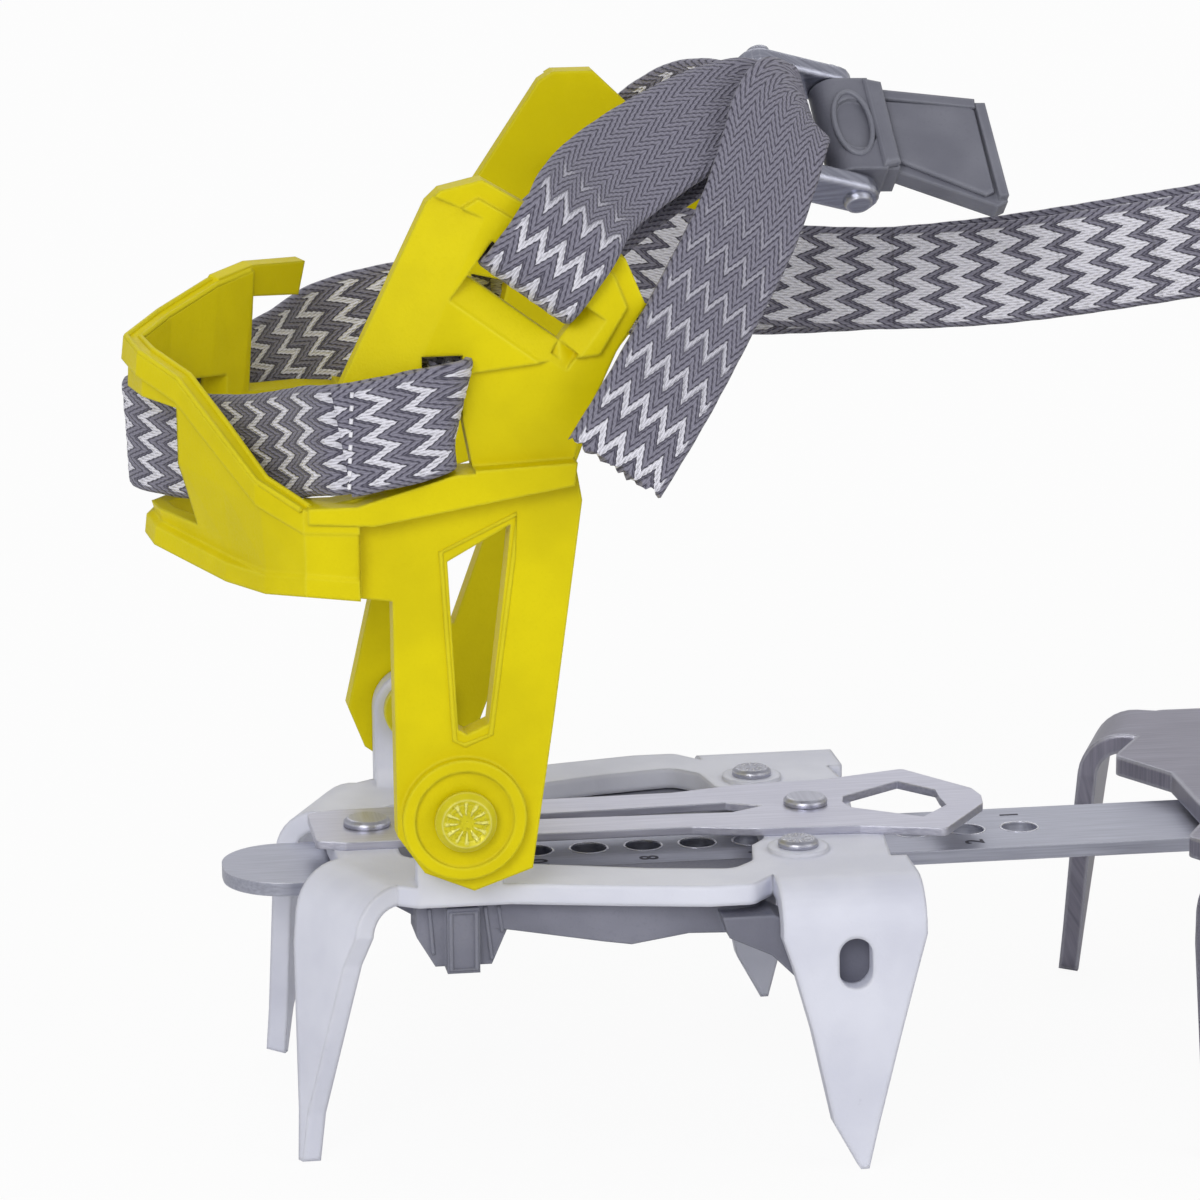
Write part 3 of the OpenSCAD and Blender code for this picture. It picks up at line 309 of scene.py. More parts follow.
def webbing():
    g = Graph("zigzag_webbing")
    uv = g.node("ShaderNodeSeparateXYZ")
    g.put(g.node("ShaderNodeUVMap", uv_map="weave").outputs["UV"], uv.inputs[0])
    across, along = uv.outputs["X"], uv.outputs["Y"]
    bright = g.node("ShaderNodeAttribute", attribute_name="bright").outputs["Fac"]
    wander = g.times(g.minus(g.noise(500, detail=2), 0.5), 0.5)
    column = g.times(g.plus(g.math("FLOOR", g.over(across, YARN)), 0.5), YARN)
    column = g.plus(g.times(column, STEPPED), g.times(across, 1 - STEPPED))
    tooth = g.math("PINGPONG", g.over(column, TOOTH), 0.5)
    phase = g.plus(g.plus(along, wander), g.times(tooth, 2 * TOOTH_RISE))
    phase = g.math("FRACT", g.over(phase, WEAVE_PERIOD))

    # Light bands, each with a shadow behind it
    beyond = g.minus(phase, g.plus(BAND, g.times(bright, BAND_GAIN)))
    light_on = g.math("MINIMUM", bright, 1.0)
    edge_fade = g.ramp(g.math("ABSOLUTE", across), BAND_HALF_W + 0.2, BAND_HALF_W - 0.2)
    white = g.times(g.ramp(phase, 0.01, 0.04), g.ramp(beyond, 0.02, -0.01))
    white = g.times(g.times(white, edge_fade), light_on)
    shadow = g.times(g.ramp(beyond, -0.01, 0.03), g.ramp(beyond, 0.13, 0.05))
    shadow = g.times(g.times(shadow, edge_fade), light_on)

    # Painted shade in the gaps between the rows and the grooves between the yarns, darkest where
    # they cross
    row = g.math("FRACT", g.times(phase, WEAVE_ROWS))
    gap_shade = g.math("MAXIMUM", g.ramp(row, 0.22, 0.02), g.ramp(row, 0.78, 0.98))
    gap_shade = g.times(gap_shade, g.minus(1.0, white))
    yarn = g.math("ABSOLUTE", g.math("SINE", g.times(across, math.pi / YARN)))
    hole_shade = g.times(gap_shade, g.ramp(yarn, 0.5, 0.95))
    groove_shade = g.ramp(yarn, 0.5, 0.0)

    fuzz = g.noise(4200, detail=2)
    grey = g.mix(fuzz, linear("747281"), linear("9896A6"))
    tone = g.mix(white, grey, g.mix(fuzz, linear("D6D5E3"), linear("F4F3FB")))
    # Painted shade laid into the grooves, the gaps and the holes
    tone = g.lay(tone, groove_shade, 0.3, "4A475A")
    tone = g.lay(tone, gap_shade, 0.75, "3A374A")
    tone = g.lay(tone, hole_shade, 0.6, "232032")
    tone = g.lay(tone, shadow, 0.7, "2A2739")
    rib = g.math("SINE", g.times(row, math.pi))
    height = g.plus(g.times(rib, 0.7), g.plus(g.times(yarn, 0.3), g.times(fuzz, 0.12)))
    height = g.plus(height, g.times(white, 0.8))
    height = g.minus(height, g.times(shadow, 0.5))
    return g.finish(tone, 0.78, g.bump(height, 0.34 * MM, 0.9), Specular_IOR_Level=0.25,
                    Sheen_Weight=0.15, Sheen_Roughness=0.5)


# Dark and light yellow, the colour of the painted edge highlight and the star, metalness and
# roughness of the yellow rivet heads
YELLOW_HEAD = ("C4B800", "DFD400", "FBF68C", 0.2, 0.32)
# x and z of the baskets' pivots, and x and y of the rivets in the snow plates
HEEL_PIVOT, TOE_PIVOT = (0, 52), (160, 52)
HEEL_PLATE_RIVET, FRONT_PLATE_RIVET = (49.7, 18.9), (189, 25)

# In each moulded and rivet_head finish the third colour is the painted highlight on the rounded
# edges; a rivet head's star takes it too
FINISH = {
    "white": powder_coat(),
    "yellow": moulded("yellow_plastic", "D2C200", "E0D000", "EEE43C", 0.45, 0.7 * MM, 2300, 0.16),
    "heel_head": rivet_head("yellow_heel_rivet", *YELLOW_HEAD, HEEL_PIVOT, False, 3.4),
    "toe_head": rivet_head("yellow_toe_rivet", *YELLOW_HEAD, TOE_PIVOT, False, 3.4),
    "plate_head": rivet_head("plate_rivet", "8F909F", "C2C3D0", "F2F3FA", 0.85, 0.34,
                             HEEL_PLATE_RIVET, True, 2.5),
    "front_head": rivet_head("front_rivet", "7F8090", "AFB0BF", "F2F3FA", 0.85, 0.34,
                             FRONT_PLATE_RIVET, True, 2.5),
    "grey": moulded("grey_plastic", "6E6F7D", "838492", "989AA7", 0.5, 0.6 * MM, 1900),
    "lever": moulded("lever_metal", "62636F", "777883", "9C9EAA", 0.36, 0.7 * MM, 1700),
    "lock": steel("lock_steel", "B7B7C6", "CDCDDA", 0.36, 0.48, "x", 0.35 * MM),
    "bar": steel("bar_steel", "9B9DAC", "B6B8C6", 0.34, 0.46, "x", 0.3 * MM),
    "rivet": steel("rivet_steel", "A9AAB8", "BCBDCA", 0.3, 0.36, "y", 0.5 * MM),
    "ring": steel("ring_steel", "8F91A1", "B5B7C6", 0.16, 0.28, "xz", 0.8 * MM),
    "front": steel("front_steel", "7C7A88", "9896A5", 0.32, 0.42, "xz", 1.0 * MM),
    # Near-white steel for the rims round the bar's holes: a painted highlight
    "rim": steel("hole_rim_highlight", "D0D1DE", "ECEDF6", 0.18, 0.28, "x", 0.2 * MM),
    "thread": moulded("stitch_thread", "CFCEDB", "F2F1F9", "FFFFFF", 0.7, 0.2 * MM, 5000),
    "mark": engraved(),
    "webbing": webbing(),
}

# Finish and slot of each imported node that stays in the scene
DRESS = {
    "heel_frame": ("white", "white_frame"),
    "front_frame": ("front", "front_steel"),
    "heel_snow_plate": ("grey", "grey_plastic"),
    "front_snow_plate": ("grey", "grey_plastic"),
    "heel_plate_rivet_near": ("plate_head", "rivet_steel"),
    "heel_plate_rivet_far": ("plate_head", "rivet_steel"),
    "front_plate_rivet_near": ("front_head", "rivet_steel"),
    "front_plate_rivet_far": ("front_head", "rivet_steel"),
    "lock_rivet": ("rivet", "rivet_steel"),
    "lock_stud": ("rivet", "rivet_steel"),
    "lock_plate": ("lock", "lock_steel"),
    "linking_bar": ("bar", "bar_steel"),
    "heel_basket": ("yellow", "yellow_plastic"),
    "toe_basket": ("yellow", "yellow_plastic"),
    "heel_pivot_rivet_near": ("heel_head", "yellow_rivet"),
    "heel_pivot_rivet_far": ("heel_head", "yellow_rivet"),
    "toe_pivot_rivet_near": ("toe_head", "yellow_rivet"),
    "toe_pivot_rivet_far": ("toe_head", "yellow_rivet"),
    "buckle_ring": ("ring", "buckle_metal"),
    "buckle_pin": ("ring", "buckle_metal"),
    "toe_ring": ("ring", "ring_steel"),
    "buckle_lever": ("lever", "lever_grey"),
}


def paint(obj, material):
    if not obj.material_slots:
        obj.data.materials.append(material)
    for s in obj.material_slots:
        s.material = material


for name, (finish, slot) in DRESS.items():
    paint(nodes[name], FINISH[finish])


# ---------------------------------------------------------------- steel pieces
PLATE_CUTS, FIRST_CUT_X, CUT_STEP = 16, -7.4, 1.3


def spring_plate():
    """The lock plate with cross cuts, so that it bends between its rivet and its stud."""
    mesh = nodes["lock_plate"].data.copy()
    shape = bmesh.new()
    shape.from_mesh(mesh)
    for i in range(PLATE_CUTS):
        geometry = shape.verts[:] + shape.edges[:] + shape.faces[:]
        bmesh.ops.bisect_plane(shape, geom=geometry, plane_no=(1, 0, 0),
                               plane_co=at(FIRST_CUT_X + CUT_STEP * i, 0, 0))
    shape.to_mesh(mesh)
    shape.free()
    obj = add_object("spring_plate", mesh)
    paint(obj, FINISH["lock"])
    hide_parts("lock_plate")
    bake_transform(obj)


spring_plate()

BAR_TOP, BAR_HOLES, FIRST_HOLE_X, HOLE_PITCH = 36.8, 10, 86.3, 8.0
# Each number is centred this far from the bar's middle, and stands a hair above its face
NUMBER_SIZE, NUMBER_Y, NUMBER_LIFT = 3.9, 6.4, 0.03
NUMBER_HALF_T, NUMBER_BOLDER = 0.02, 0.05


def bar_numbers():
    """Engraved numbers beside the bar's holes, counted from the toe, on alternate sides."""
    mesh = bpy.data.meshes.new("bar_numbers")
    shape = bmesh.new()
    turn = Matrix.Rotation(math.radians(90), 4, "Z")
    for i in range(BAR_HOLES):
        text = bpy.data.curves.new("number", "FONT")
        text.body = str(i + 1)
        text.size = NUMBER_SIZE * MM
        text.offset = NUMBER_BOLDER * MM
        text.extrude = NUMBER_HALF_T * MM
        text.align_x = "CENTER"
        text.align_y = "CENTER"
        text.resolution_u = 3
        drawn = bpy.data.objects.new("number", text)
        flat = drawn.to_mesh()
        side = NUMBER_Y if i % 2 == 0 else -NUMBER_Y
        place = at(FIRST_HOLE_X - HOLE_PITCH * i, side, BAR_TOP + NUMBER_LIFT)
        flat.transform(Matrix.Translation(place) @ turn)
        shape.from_mesh(flat)
        drawn.to_mesh_clear()
        bpy.data.objects.remove(drawn)
        bpy.data.curves.remove(text)
    shape.to_mesh(mesh)
    shape.free()
    obj = add_object("bar_numbers", mesh)
    mesh.materials.append(FINISH["mark"])
    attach(obj, "linking_bar")


bar_numbers()


# ---------------------------------------------------------------- small raised details
PIVOT_Z, FAR_LEAN, LEG_IN, LEG_OUT = 52.0, 13.0, 28.9, 33.0
# Across and up, as shares of a bead's width and height
BEAD_PROFILE = [(-0.5, -0.6), (-0.5, 0.35), (-0.28, 1.0), (0.28, 1.0), (0.5, 0.35), (0.5, -0.6)]


def leaned(x, y, z, share=None):
    """A place of the basket in its own axes, moved as the sprung far side leans forward."""
    if share is None:
        share = min(1.0, max(0.0, (y + LEG_IN) / (2 * LEG_IN)))
    angle = math.radians(FAR_LEAN * share)
    return Vector((x * math.cos(angle) + z * math.sin(angle), y,
                   z * math.cos(angle) - x * math.sin(angle) + PIVOT_Z))


def add_bead(shape, path, outward, width, height, closed=False):
    """A low rounded rib along a path of places. outward is its up direction at each place."""
    count = len(path)
    rings = []
    for i, p in enumerate(path):
        before = path[i - 1] if closed or i else path[0]
        after = path[(i + 1) % count] if closed or i < count - 1 else path[-1]
        forward = (Vector(after) - Vector(before)).normalized()
        up = Vector(outward[i]).normalized()
        side = forward.cross(up).normalized()
        rings.append([shape.verts.new(at(*(Vector(p) + side * (u * width) + up * (v * height))))
                      for u, v in BEAD_PROFILE])
    pairs = list(zip(rings, rings[1:])) + ([(rings[-1], rings[0])] if closed else [])
    for a, b in pairs:
        for j in range(len(BEAD_PROFILE)):
            k = (j + 1) % len(BEAD_PROFILE)
            shape.faces.new((a[j], a[k], b[k], b[j]))
    if not closed:
        shape.faces.new(rings[0][::-1])
        shape.faces.new(rings[-1])


def circle(sides):
    """The angles of a closed loop's places."""
    return [2 * math.pi * k / sides for k in range(sides)]


def detail(name, shape, finish, slot, body):
    """A piece made from a shape, on a body."""
    bmesh.ops.recalc_face_normals(shape, faces=shape.faces[:])
    mesh = bpy.data.meshes.new(name)
    shape.to_mesh(mesh)
    shape.free()
    obj = add_object(name, mesh)
    mesh.materials.append(FINISH[finish])
    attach(obj, body)


# Rows of the cup as in the CAD: x and y of the outer face, and its high edge
CUP_RIM = [
    (-21.5, -35.2, 45), (-27, -29.6, 48), (-33, -22.2, 53), (-39.5, -14.4, 57.4),
    (-46, -7, 58.2), (-49, 0, 57.6), (-46, 7, 58.8), (-40.6, 13.2, 61.8), (-36.6, 18, 63.1)]
# Two beads run along the rim, this far inward of the outer face
RIM_BEADS_IN, RIM_BEAD_W, RIM_BEAD_H = (-0.55, 1.45), 0.8, 0.4


def cup_rim():
    shape = bmesh.new()
    for offset in RIM_BEADS_IN:
        path = []
        for i, (x, y, z) in enumerate(CUP_RIM):
            a, b = CUP_RIM[max(i - 1, 0)], CUP_RIM[min(i + 1, len(CUP_RIM) - 1)]
            inward = Vector((b[1] - a[1], a[0] - b[0], 0)).normalized()
            path.append(leaned(x + inward.x * offset, y + inward.y * offset, z))
        add_bead(shape, path, [(0, 0, 1)] * len(path), RIM_BEAD_W, RIM_BEAD_H)
    detail("cup_rim", shape, "yellow", "yellow_plastic", "heel_basket")


cup_rim()

# Corners of the slot in each leg and its middle, as x and z from the pivot
LEG_SLOT = [(7, 41.3), (-1.8, 36.4), (-0.6, 12.5), (0.6, 11.8), (3.7, 13.2), (6.4, 35.5)]
LEG_SLOT_MIDDLE = (2.4, 27.0)
# The bead runs this far outside the corners, and is stretched a little along x
SLOT_MARGIN, SLOT_STRETCH = 1.5, 1.06
SLOT_BEAD_W, SLOT_BEAD_H = 0.7, 0.28


def leg_frames():
    shape = bmesh.new()
    middle_x, middle_z = LEG_SLOT_MIDDLE
    for side, share in ((-1, 0.0), (1, 1.0)):
        loop = []
        for x, z in LEG_SLOT:
            grow = 1 + SLOT_MARGIN / math.hypot(x - middle_x, z - middle_z)
            loop.append(leaned(middle_x + (x - middle_x) * grow * SLOT_STRETCH, side * LEG_OUT,
                               middle_z + (z - middle_z) * grow, share))
        add_bead(shape, loop, [(0, side, 0)] * len(loop), SLOT_BEAD_W, SLOT_BEAD_H, closed=True)
    detail("leg_frames", shape, "yellow", "yellow_plastic", "heel_basket")


leg_frames()

# The snow plate's boss has a ribbed panel, and single ribs beside it further in, as x and z
BOSS_PANEL_Y, BOSS_PANEL = 27.2, [(-1.3, 36.4), (-1.3, 28.1), (2.3, 28.1), (2.3, 36.4)]
BOSS_RIB_Y = 26
BOSS_RIBS = [
    [(-4.2, 36.8), (-3.7, 30.2)], [(3.7, 36.8), (4.6, 29)], [(5.6, 36.8), (6.1, 33)]]
BOSS_BEAD_W, BOSS_RIB_W, BOSS_BEAD_H = 0.7, 0.6, 0.4


def boss_ribs():
    shape = bmesh.new()
    for side in (-1, 1):
        outward = (0, side, 0)
        panel = [(x, side * BOSS_PANEL_Y, z) for x, z in BOSS_PANEL]
        add_bead(shape, panel, [outward] * len(panel), BOSS_BEAD_W, BOSS_BEAD_H, closed=True)
        for ends in BOSS_RIBS:
            rib = [(x, side * BOSS_RIB_Y, z) for x, z in ends]
            add_bead(shape, rib, [outward] * len(rib), BOSS_RIB_W, BOSS_BEAD_H)
    detail("boss_ribs", shape, "grey", "grey_plastic", "heel_frame")


boss_ribs()

# Each hole gets a thin near-white bead round it: a painted highlight on the hole's chamfered rim
HOLE_RIM_R, HOLE_RIM_SIDES, HOLE_RIM_W, HOLE_RIM_H = 2.78, 28, 0.34, 0.07


def hole_rims():
    shape = bmesh.new()
    for i in range(BAR_HOLES):
        ring = [(FIRST_HOLE_X - HOLE_PITCH * i + HOLE_RIM_R * math.cos(a),
                 HOLE_RIM_R * math.sin(a), BAR_TOP) for a in circle(HOLE_RIM_SIDES)]
        add_bead(shape, ring, [(0, 0, 1)] * len(ring), HOLE_RIM_W, HOLE_RIM_H, closed=True)
    detail("hole_rims", shape, "rim", "bar_steel", "linking_bar")


hole_rims()


# ---------------------------------------------------------------- buckle
# Its own axes: x along the tab, z along the pin, and y away from the face that shows
RING_IN_W, RING_IN_L, RING_T, TAB_LEN = 17, 10, 2.6, 21.5
RING_HALF_W = RING_IN_W / 2 + RING_T
PIN_X = RING_IN_L / 2 + 2.6
BUCKLE_TURN = (Matrix.Rotation(math.radians(19), 4, "Z") @ Matrix.Rotation(math.radians(16), 4, "Y")
               @ Matrix.Rotation(math.radians(-46), 4, "X"))
BUCKLE_PLACE = Matrix.Translation((52, -5, 142.3)) @ BUCKLE_TURN
LEVER_PLACE = (BUCKLE_PLACE @ Matrix.Translation((PIN_X, 0, 0))
               @ Matrix.Rotation(math.radians(-18.5), 4, "Z"))
# Side plates of the frame: half their height, how far they go past the pin, how much they
# stand inward and outward of the rods, their rounding, and the steps of their round ends
CHEEK_R, CHEEK_PAST_PIN, CHEEK_IN, CHEEK_OUT, CHEEK_BEVEL = 2.9, 3.2, 0.05, 0.15, 0.6
CHEEK_STEPS = 8
# Half the width of the collar round the pin
COLLAR_HALF_W = RING_IN_W / 2 - 0.3
# Outlines on the lever as x and z
PANEL = [(6.6, 2.4 - COLLAR_HALF_W), (TAB_LEN - 3.2, -12.1), (TAB_LEN - 1.9, -11.5),
         (TAB_LEN - 1.7, 3.2), (TAB_LEN - 2.4, 3.9), (6.6, COLLAR_HALF_W - 3.2)]
RIDGE = [(3.6, 0.2 - COLLAR_HALF_W), (6.3, 0.9 - COLLAR_HALF_W),
         (6.3, COLLAR_HALF_W - 0.9), (3.6, COLLAR_HALF_W - 0.2)]
# With the y where each begins and ends, and its rounding
LEVER_SLABS = [(PANEL, -1.3, -2.25, 0.35), (RIDGE, -2.4, -4.1, 0.8)]
# The oval recess: its middle, half its width and length, its slant, and its rim's sides
OVAL_X, OVAL_Y, OVAL_HALF_W, OVAL_HALF_L, OVAL_SLANT, OVAL_SIDES = 0.7, -3.4, 2.7, 5.6, 0.12, 32
OVAL_BEAD_W, OVAL_BEAD_H = 0.75, 0.4


def add_slab(shape, outline, low, high, place, lift, bevel):
    """A plate with rounded edges. lift turns an outline place and a height into x, y and z."""
    layers = [[shape.verts.new(place @ Vector(lift(u, v, h))) for u, v in outline]
              for h in (low, high)]
    faces = [shape.faces.new(layers[0][::-1]), shape.faces.new(layers[1])]
    for i in range(len(outline)):
        j = (i + 1) % len(outline)
        faces.append(shape.faces.new((layers[0][i], layers[0][j], layers[1][j], layers[1][i])))
    edges = list(dict.fromkeys(e for f in faces[:2] for e in f.edges))
    bmesh.ops.bevel(shape, geom=edges, offset=bevel, segments=3, profile=0.5, affect="EDGES")


def settle(shape):
    """Put verts and faces in order of place, because a bevel's own order changes between runs."""
    for items, middle in ((shape.verts, lambda v: v.co),
                          (shape.faces, lambda f: f.calc_center_median())):
        ranked = sorted(items, key=lambda item: tuple(round(c, 4) for c in middle(item)))
        rank = {item: i for i, item in enumerate(ranked)}
        items.sort(key=lambda item: rank[item])


def slab_piece(name, shape, finish, slot, body):
    """A detail whose shape is still in millimetres."""
    settle(shape)
    for v in shape.verts:
        v.co = at(*v.co)
    detail(name, shape, finish, slot, body)


def ring_cheeks():
    """Rounded side plates of the buckle's frame, outside the webbing."""
    shape = bmesh.new()
    first, last = -RING_IN_L / 2 - RING_T, PIN_X + CHEEK_PAST_PIN
    outline = []
    for middle, start in ((first + CHEEK_R, 90), (last - CHEEK_R, -90)):
        for k in range(CHEEK_STEPS + 1):
            a = math.radians(start + 180 / CHEEK_STEPS * k)
            outline.append((middle + CHEEK_R * math.cos(a), CHEEK_R * math.sin(a)))
    for side in (-1, 1):
        low, high = sorted((side * (RING_HALF_W - RING_T - CHEEK_IN),
                            side * (RING_HALF_W + CHEEK_OUT)))
        add_slab(shape, outline, low, high, BUCKLE_PLACE, lambda u, v, h: (u, v, h), CHEEK_BEVEL)
    slab_piece("ring_cheeks", shape, "ring", "buckle_metal", "heel_basket")


def lever_face():
    """Panel that lies in the tab, and the collar's ridge."""
    shape = bmesh.new()
    for outline, low, high, bevel in LEVER_SLABS:
        add_slab(shape, outline, low, high, LEVER_PLACE, lambda u, v, h: (u, h, v), bevel)
    slab_piece("lever_face", shape, "lever", "lever_grey", "buckle_lever")


def lever_oval():
    """Raised rim of the oval recess."""
    shape = bmesh.new()
    loop = [LEVER_PLACE @ Vector((OVAL_X + OVAL_HALF_W * math.cos(a) + OVAL_SLANT * math.sin(a),
                                  OVAL_Y, OVAL_HALF_L * math.sin(a)))
            for a in circle(OVAL_SIDES)]
    outward = LEVER_PLACE.to_3x3() @ Vector((0, -1, 0))
    add_bead(shape, loop, [outward] * len(loop), OVAL_BEAD_W, OVAL_BEAD_H, closed=True)
    detail("lever_oval", shape, "lever", "lever_grey", "buckle_lever")


ring_cheeks()
lever_face()
lever_oval()


# ---------------------------------------------------------------- straps
STRAP_W, STRAP_T = 15.0, 1.6
# Spacing of the mesh, along and across
STRAP_STEP = 0.5
# Points of the smooth curve between two rows of a route
CURVE_STEPS = 24
# The selvedges' width and roundness, and the height, pitch and width of their scallops
SELVEDGE, SELVEDGE_ROUND = 0.8, 0.75
SCALLOP_H, SCALLOP_PITCH, SCALLOP_W = 0.06, 1.1, 0.3
# Height of the weave's ribs and of the light bands, and how deep the relief sits
RIB_H, BAND_H, RELIEF_DROP = 0.07, 0.09, 0.1
# Share by which the width wanders along the strap
WIDTH_WANDER = 0.002
# A sealed end: how many rows are molten, how far its lumps reach out, and how much it swells
MELT_ROWS, MELT_REACH, MELT_SWELL = 4, 1.1, 0.25


def mixed(a, b, t):
    return tuple(p + (q - p) * t for p, q in zip(a, b))


# Directions of the straps' width
UP = (0, 0, 1)
NEAR = (0.25, 0, 1)
FAR = (-0.1, 0, 1)
NEAR_W = (0.804, 0, -0.595)
FAR_W = (0.65, 0, -0.76)
BUCKLE_W = (0.053, -0.742, -0.668)
TAIL_W = (0.82, 0, -0.57)
BACK_W = tuple(-c for c in FAR_W)

# Rows of x, y, z and width direction. All but rear_strap_end are the CAD's own routes.
ROUTES = {
    "rear_strap": [
        (-14, -27.4, 107, NEAR), (-8, -27.4, 108, NEAR), (-3.6, -28, 108.7, NEAR),
        (-2.6, -31, 108.8, NEAR), (-3.6, -34.2, 108.7, NEAR), (-8, -35.2, 107.8, NEAR),
        (-14, -35.2, 106.8, NEAR), (-17.6, -34.4, 106.3, UP), (-20, -30.6, 105.5, UP),
        (-21.9, -26, 104.2, UP), (-26.2, -18, 102, UP), (-31, -9.4, 100.4, UP),
        (-36.4, -3, 99.8, UP), (-41.4, 4, 99.8, UP), (-41, 9, 100, FAR),
        (-34, 16.6, 100.8, FAR), (-26, 24.2, 102.4, FAR), (-18.6, 31.6, 104.2, FAR),
        (-11, 37.8, 107, FAR), (0, 38.6, 109.4, FAR), (14, 38.6, 110.6, FAR)],
    # The rear strap's end, folded round the post and sewn down on the strap below it
    "rear_strap_end": [
        (-3.4, -30.9, 108.8, NEAR), (-1.2, -31, 109, NEAR), (-0.4, -33.4, 109.6, NEAR),
        (-1.6, -36, 109.5, NEAR), (-6, -37.1, 108.3, NEAR), (-12, -37.1, 107.2, NEAR),
        (-16.4, -36.7, 106.4, NEAR)],
    "buckle_strap": [
        (48.1, -4.9, 141.9, BUCKLE_W), (45, -5.2, 142, BUCKLE_W), (42.2, -6.2, 142.9, BUCKLE_W),
        (36, -10.2, 141.6, mixed(NEAR_W, BUCKLE_W, 0.8)),
        (28, -16, 138.4, mixed(NEAR_W, BUCKLE_W, 0.5)),
        (19.6, -22.4, 134, mixed(NEAR_W, BUCKLE_W, 0.2)), (13, -26.8, 129.4, NEAR_W),
        (10, -28.8, 126.6, NEAR_W), (9.4, -31, 125.6, NEAR_W), (9.8, -34.4, 126.4, NEAR_W),
        (12.6, -35.3, 130.2, NEAR_W), (15.6, -34.8, 134.4, NEAR_W), (17.6, -31.6, 136.8, NEAR_W),
        (21.4, -25.8, 139, mixed(NEAR_W, BUCKLE_W, 0.2)),
        (29, -19.4, 142.4, mixed(NEAR_W, BUCKLE_W, 0.5)),
        (37.6, -13.8, 145.6, mixed(NEAR_W, BUCKLE_W, 0.8)), (44.6, -9.8, 146.9, BUCKLE_W),
        (47.5, -8.8, 146, BUCKLE_W), (49.7, -7, 144.3, BUCKLE_W)],
    "ankle_strap": [
        (24.6, 26.2, 124.2, FAR_W), (27.6, 27, 126.8, FAR_W), (30.2, 31, 129.6, FAR_W),
        (32.2, 34.6, 131.4, FAR_W), (36, 35.3, 134.6, FAR_W), (39.8, 33, 138, FAR_W),
        (43, 25, 140.8, (0.4, 0, -0.92)), (46.4, 14, 141.4, (0.15, -0.1, -0.98)),
        (48.7, 4.6, 138.9, (0.08, -0.35, -0.93)), (50.4, -1.8, 139.2, BUCKLE_W),
        (52.3, -4.6, 142, BUCKLE_W)],
    "tail_strap": [
        (52.9, -5.7, 143.2, BUCKLE_W), (52.3, -8.3, 145.4, mixed(BUCKLE_W, TAIL_W, 0.1)),
        (50.2, -10.8, 146.8, mixed(BUCKLE_W, TAIL_W, 0.35)),
        (47.8, -14.8, 144.8, mixed(BUCKLE_W, TAIL_W, 0.65)),
        (45.2, -19.4, 139.6, mixed(BUCKLE_W, TAIL_W, 0.9)), (41, -25, 131.8, TAIL_W),
        (34, -32, 121.8, TAIL_W), (27, -38, 112, TAIL_W), (20.2, -41.5, 102.6, TAIL_W)],
    "outgoing_strap": [
        (3, 40.7, 110.2, UP), (16, 40.6, 111.3, UP), (34, 38.6, 112.4, UP), (58, 34, 112.6, UP),
        (84, 25, 115.4, UP), (110, 15.4, 120.4, UP), (132, 7.6, 125.2, UP), (148, 3.6, 128.2, UP),
        (157.4, 2.3, 129, UP)],
    "returning_strap": [
        (157.4, -2.3, 129, UP), (148, -1.6, 128.2, UP), (132, 2.8, 125.2, UP),
        (110, 9.6, 120.4, UP), (84, 17.4, 116.2, UP), (60, 22.6, 115.6, UP),
        (42, 23.2, 118.4, mixed(UP, BACK_W, 0.4)), (31, 23.9, 121.6, mixed(UP, BACK_W, 0.8)),
        (25.6, 24.2, 123.8, BACK_W)],
}


def smooth_point(a, b, c, d, t):
    """Between b and c on the smooth curve through four rows."""
    return [q + t / 2 * ((r - p) + t * ((2 * p - 5 * q + 4 * r - s) + t * (3 * (q - r) + s - p)))
            for p, q, r, s in zip(a, b, c, d)]


def centreline(rows):
    """Places and width directions along a route, evenly spaced, and its length."""
    flat = [list(r[:3]) + list(r[3]) for r in rows]
    dense = []
    for i in range(len(flat) - 1):
        a, b, c, d = (flat[max(i - 1, 0)], flat[i], flat[i + 1], flat[min(i + 2, len(flat) - 1)])
        dense += [smooth_point(a, b, c, d, k / CURVE_STEPS) for k in range(CURVE_STEPS)]
    dense.append(flat[-1])
    run = [0.0]
    for p, q in zip(dense, dense[1:]):
        run.append(run[-1] + (Vector(q[:3]) - Vector(p[:3])).length)
    count = max(2, round(run[-1] / STRAP_STEP))
    line, j = [], 0
    for i in range(count + 1):
        goal = run[-1] * i / count
        while j < len(run) - 2 and run[j + 1] < goal:
            j += 1
        t = (goal - run[j]) / max(run[j + 1] - run[j], 1e-9)
        line.append([p + (q - p) * t for p, q in zip(dense[j], dense[j + 1])])
    return line, run[-1]


def weave_height(across, along, light):
    """How far the yarns stand up at a place on the strap, in millimetres."""
    cell = abs((across / TOOTH) % 1.0)
    tooth = cell if cell < 0.5 else 1 - cell
    phase = ((along + 2 * TOOTH_RISE * tooth) / WEAVE_PERIOD) % 1.0
    rib = math.sin(math.pi * ((phase * WEAVE_ROWS) % 1.0))
    in_band = phase < BAND + BAND_GAIN * light and abs(across) < BAND_HALF_W
    return RIB_H * rib + (BAND_H if in_band else 0.0) * min(light, 1.0)


def strap_axes(line, i):
    """The place, forward, width and up directions of a centreline's row."""
    behind, beyond = line[max(i - 1, 0)], line[min(i + 1, len(line) - 1)]
    forward = (Vector(beyond[:3]) - Vector(behind[:3])).normalized()
    w = Vector(line[i][3:])
    w = (w - w.dot(forward) * forward).normalized()
    return Vector(line[i][:3]), forward, w, forward.cross(w)


def strap_faces(rows, steps):
    """Sides between rings of points, and then the two flat ends."""
    ring = 2 * (steps + 1)
    faces = []
    for r in range(rows):
        for k in range(ring):
            a, b = r * ring + k, r * ring + (k + 1) % ring
            faces.append((a, b, b + ring, a + ring))
    end = rows * ring
    for k in range(steps):
        faces.append((k, ring - 1 - k, ring - 2 - k, k + 1)[::-1])
        faces.append((end + k, end + ring - 1 - k, end + ring - 2 - k, end + k + 1))
    return faces


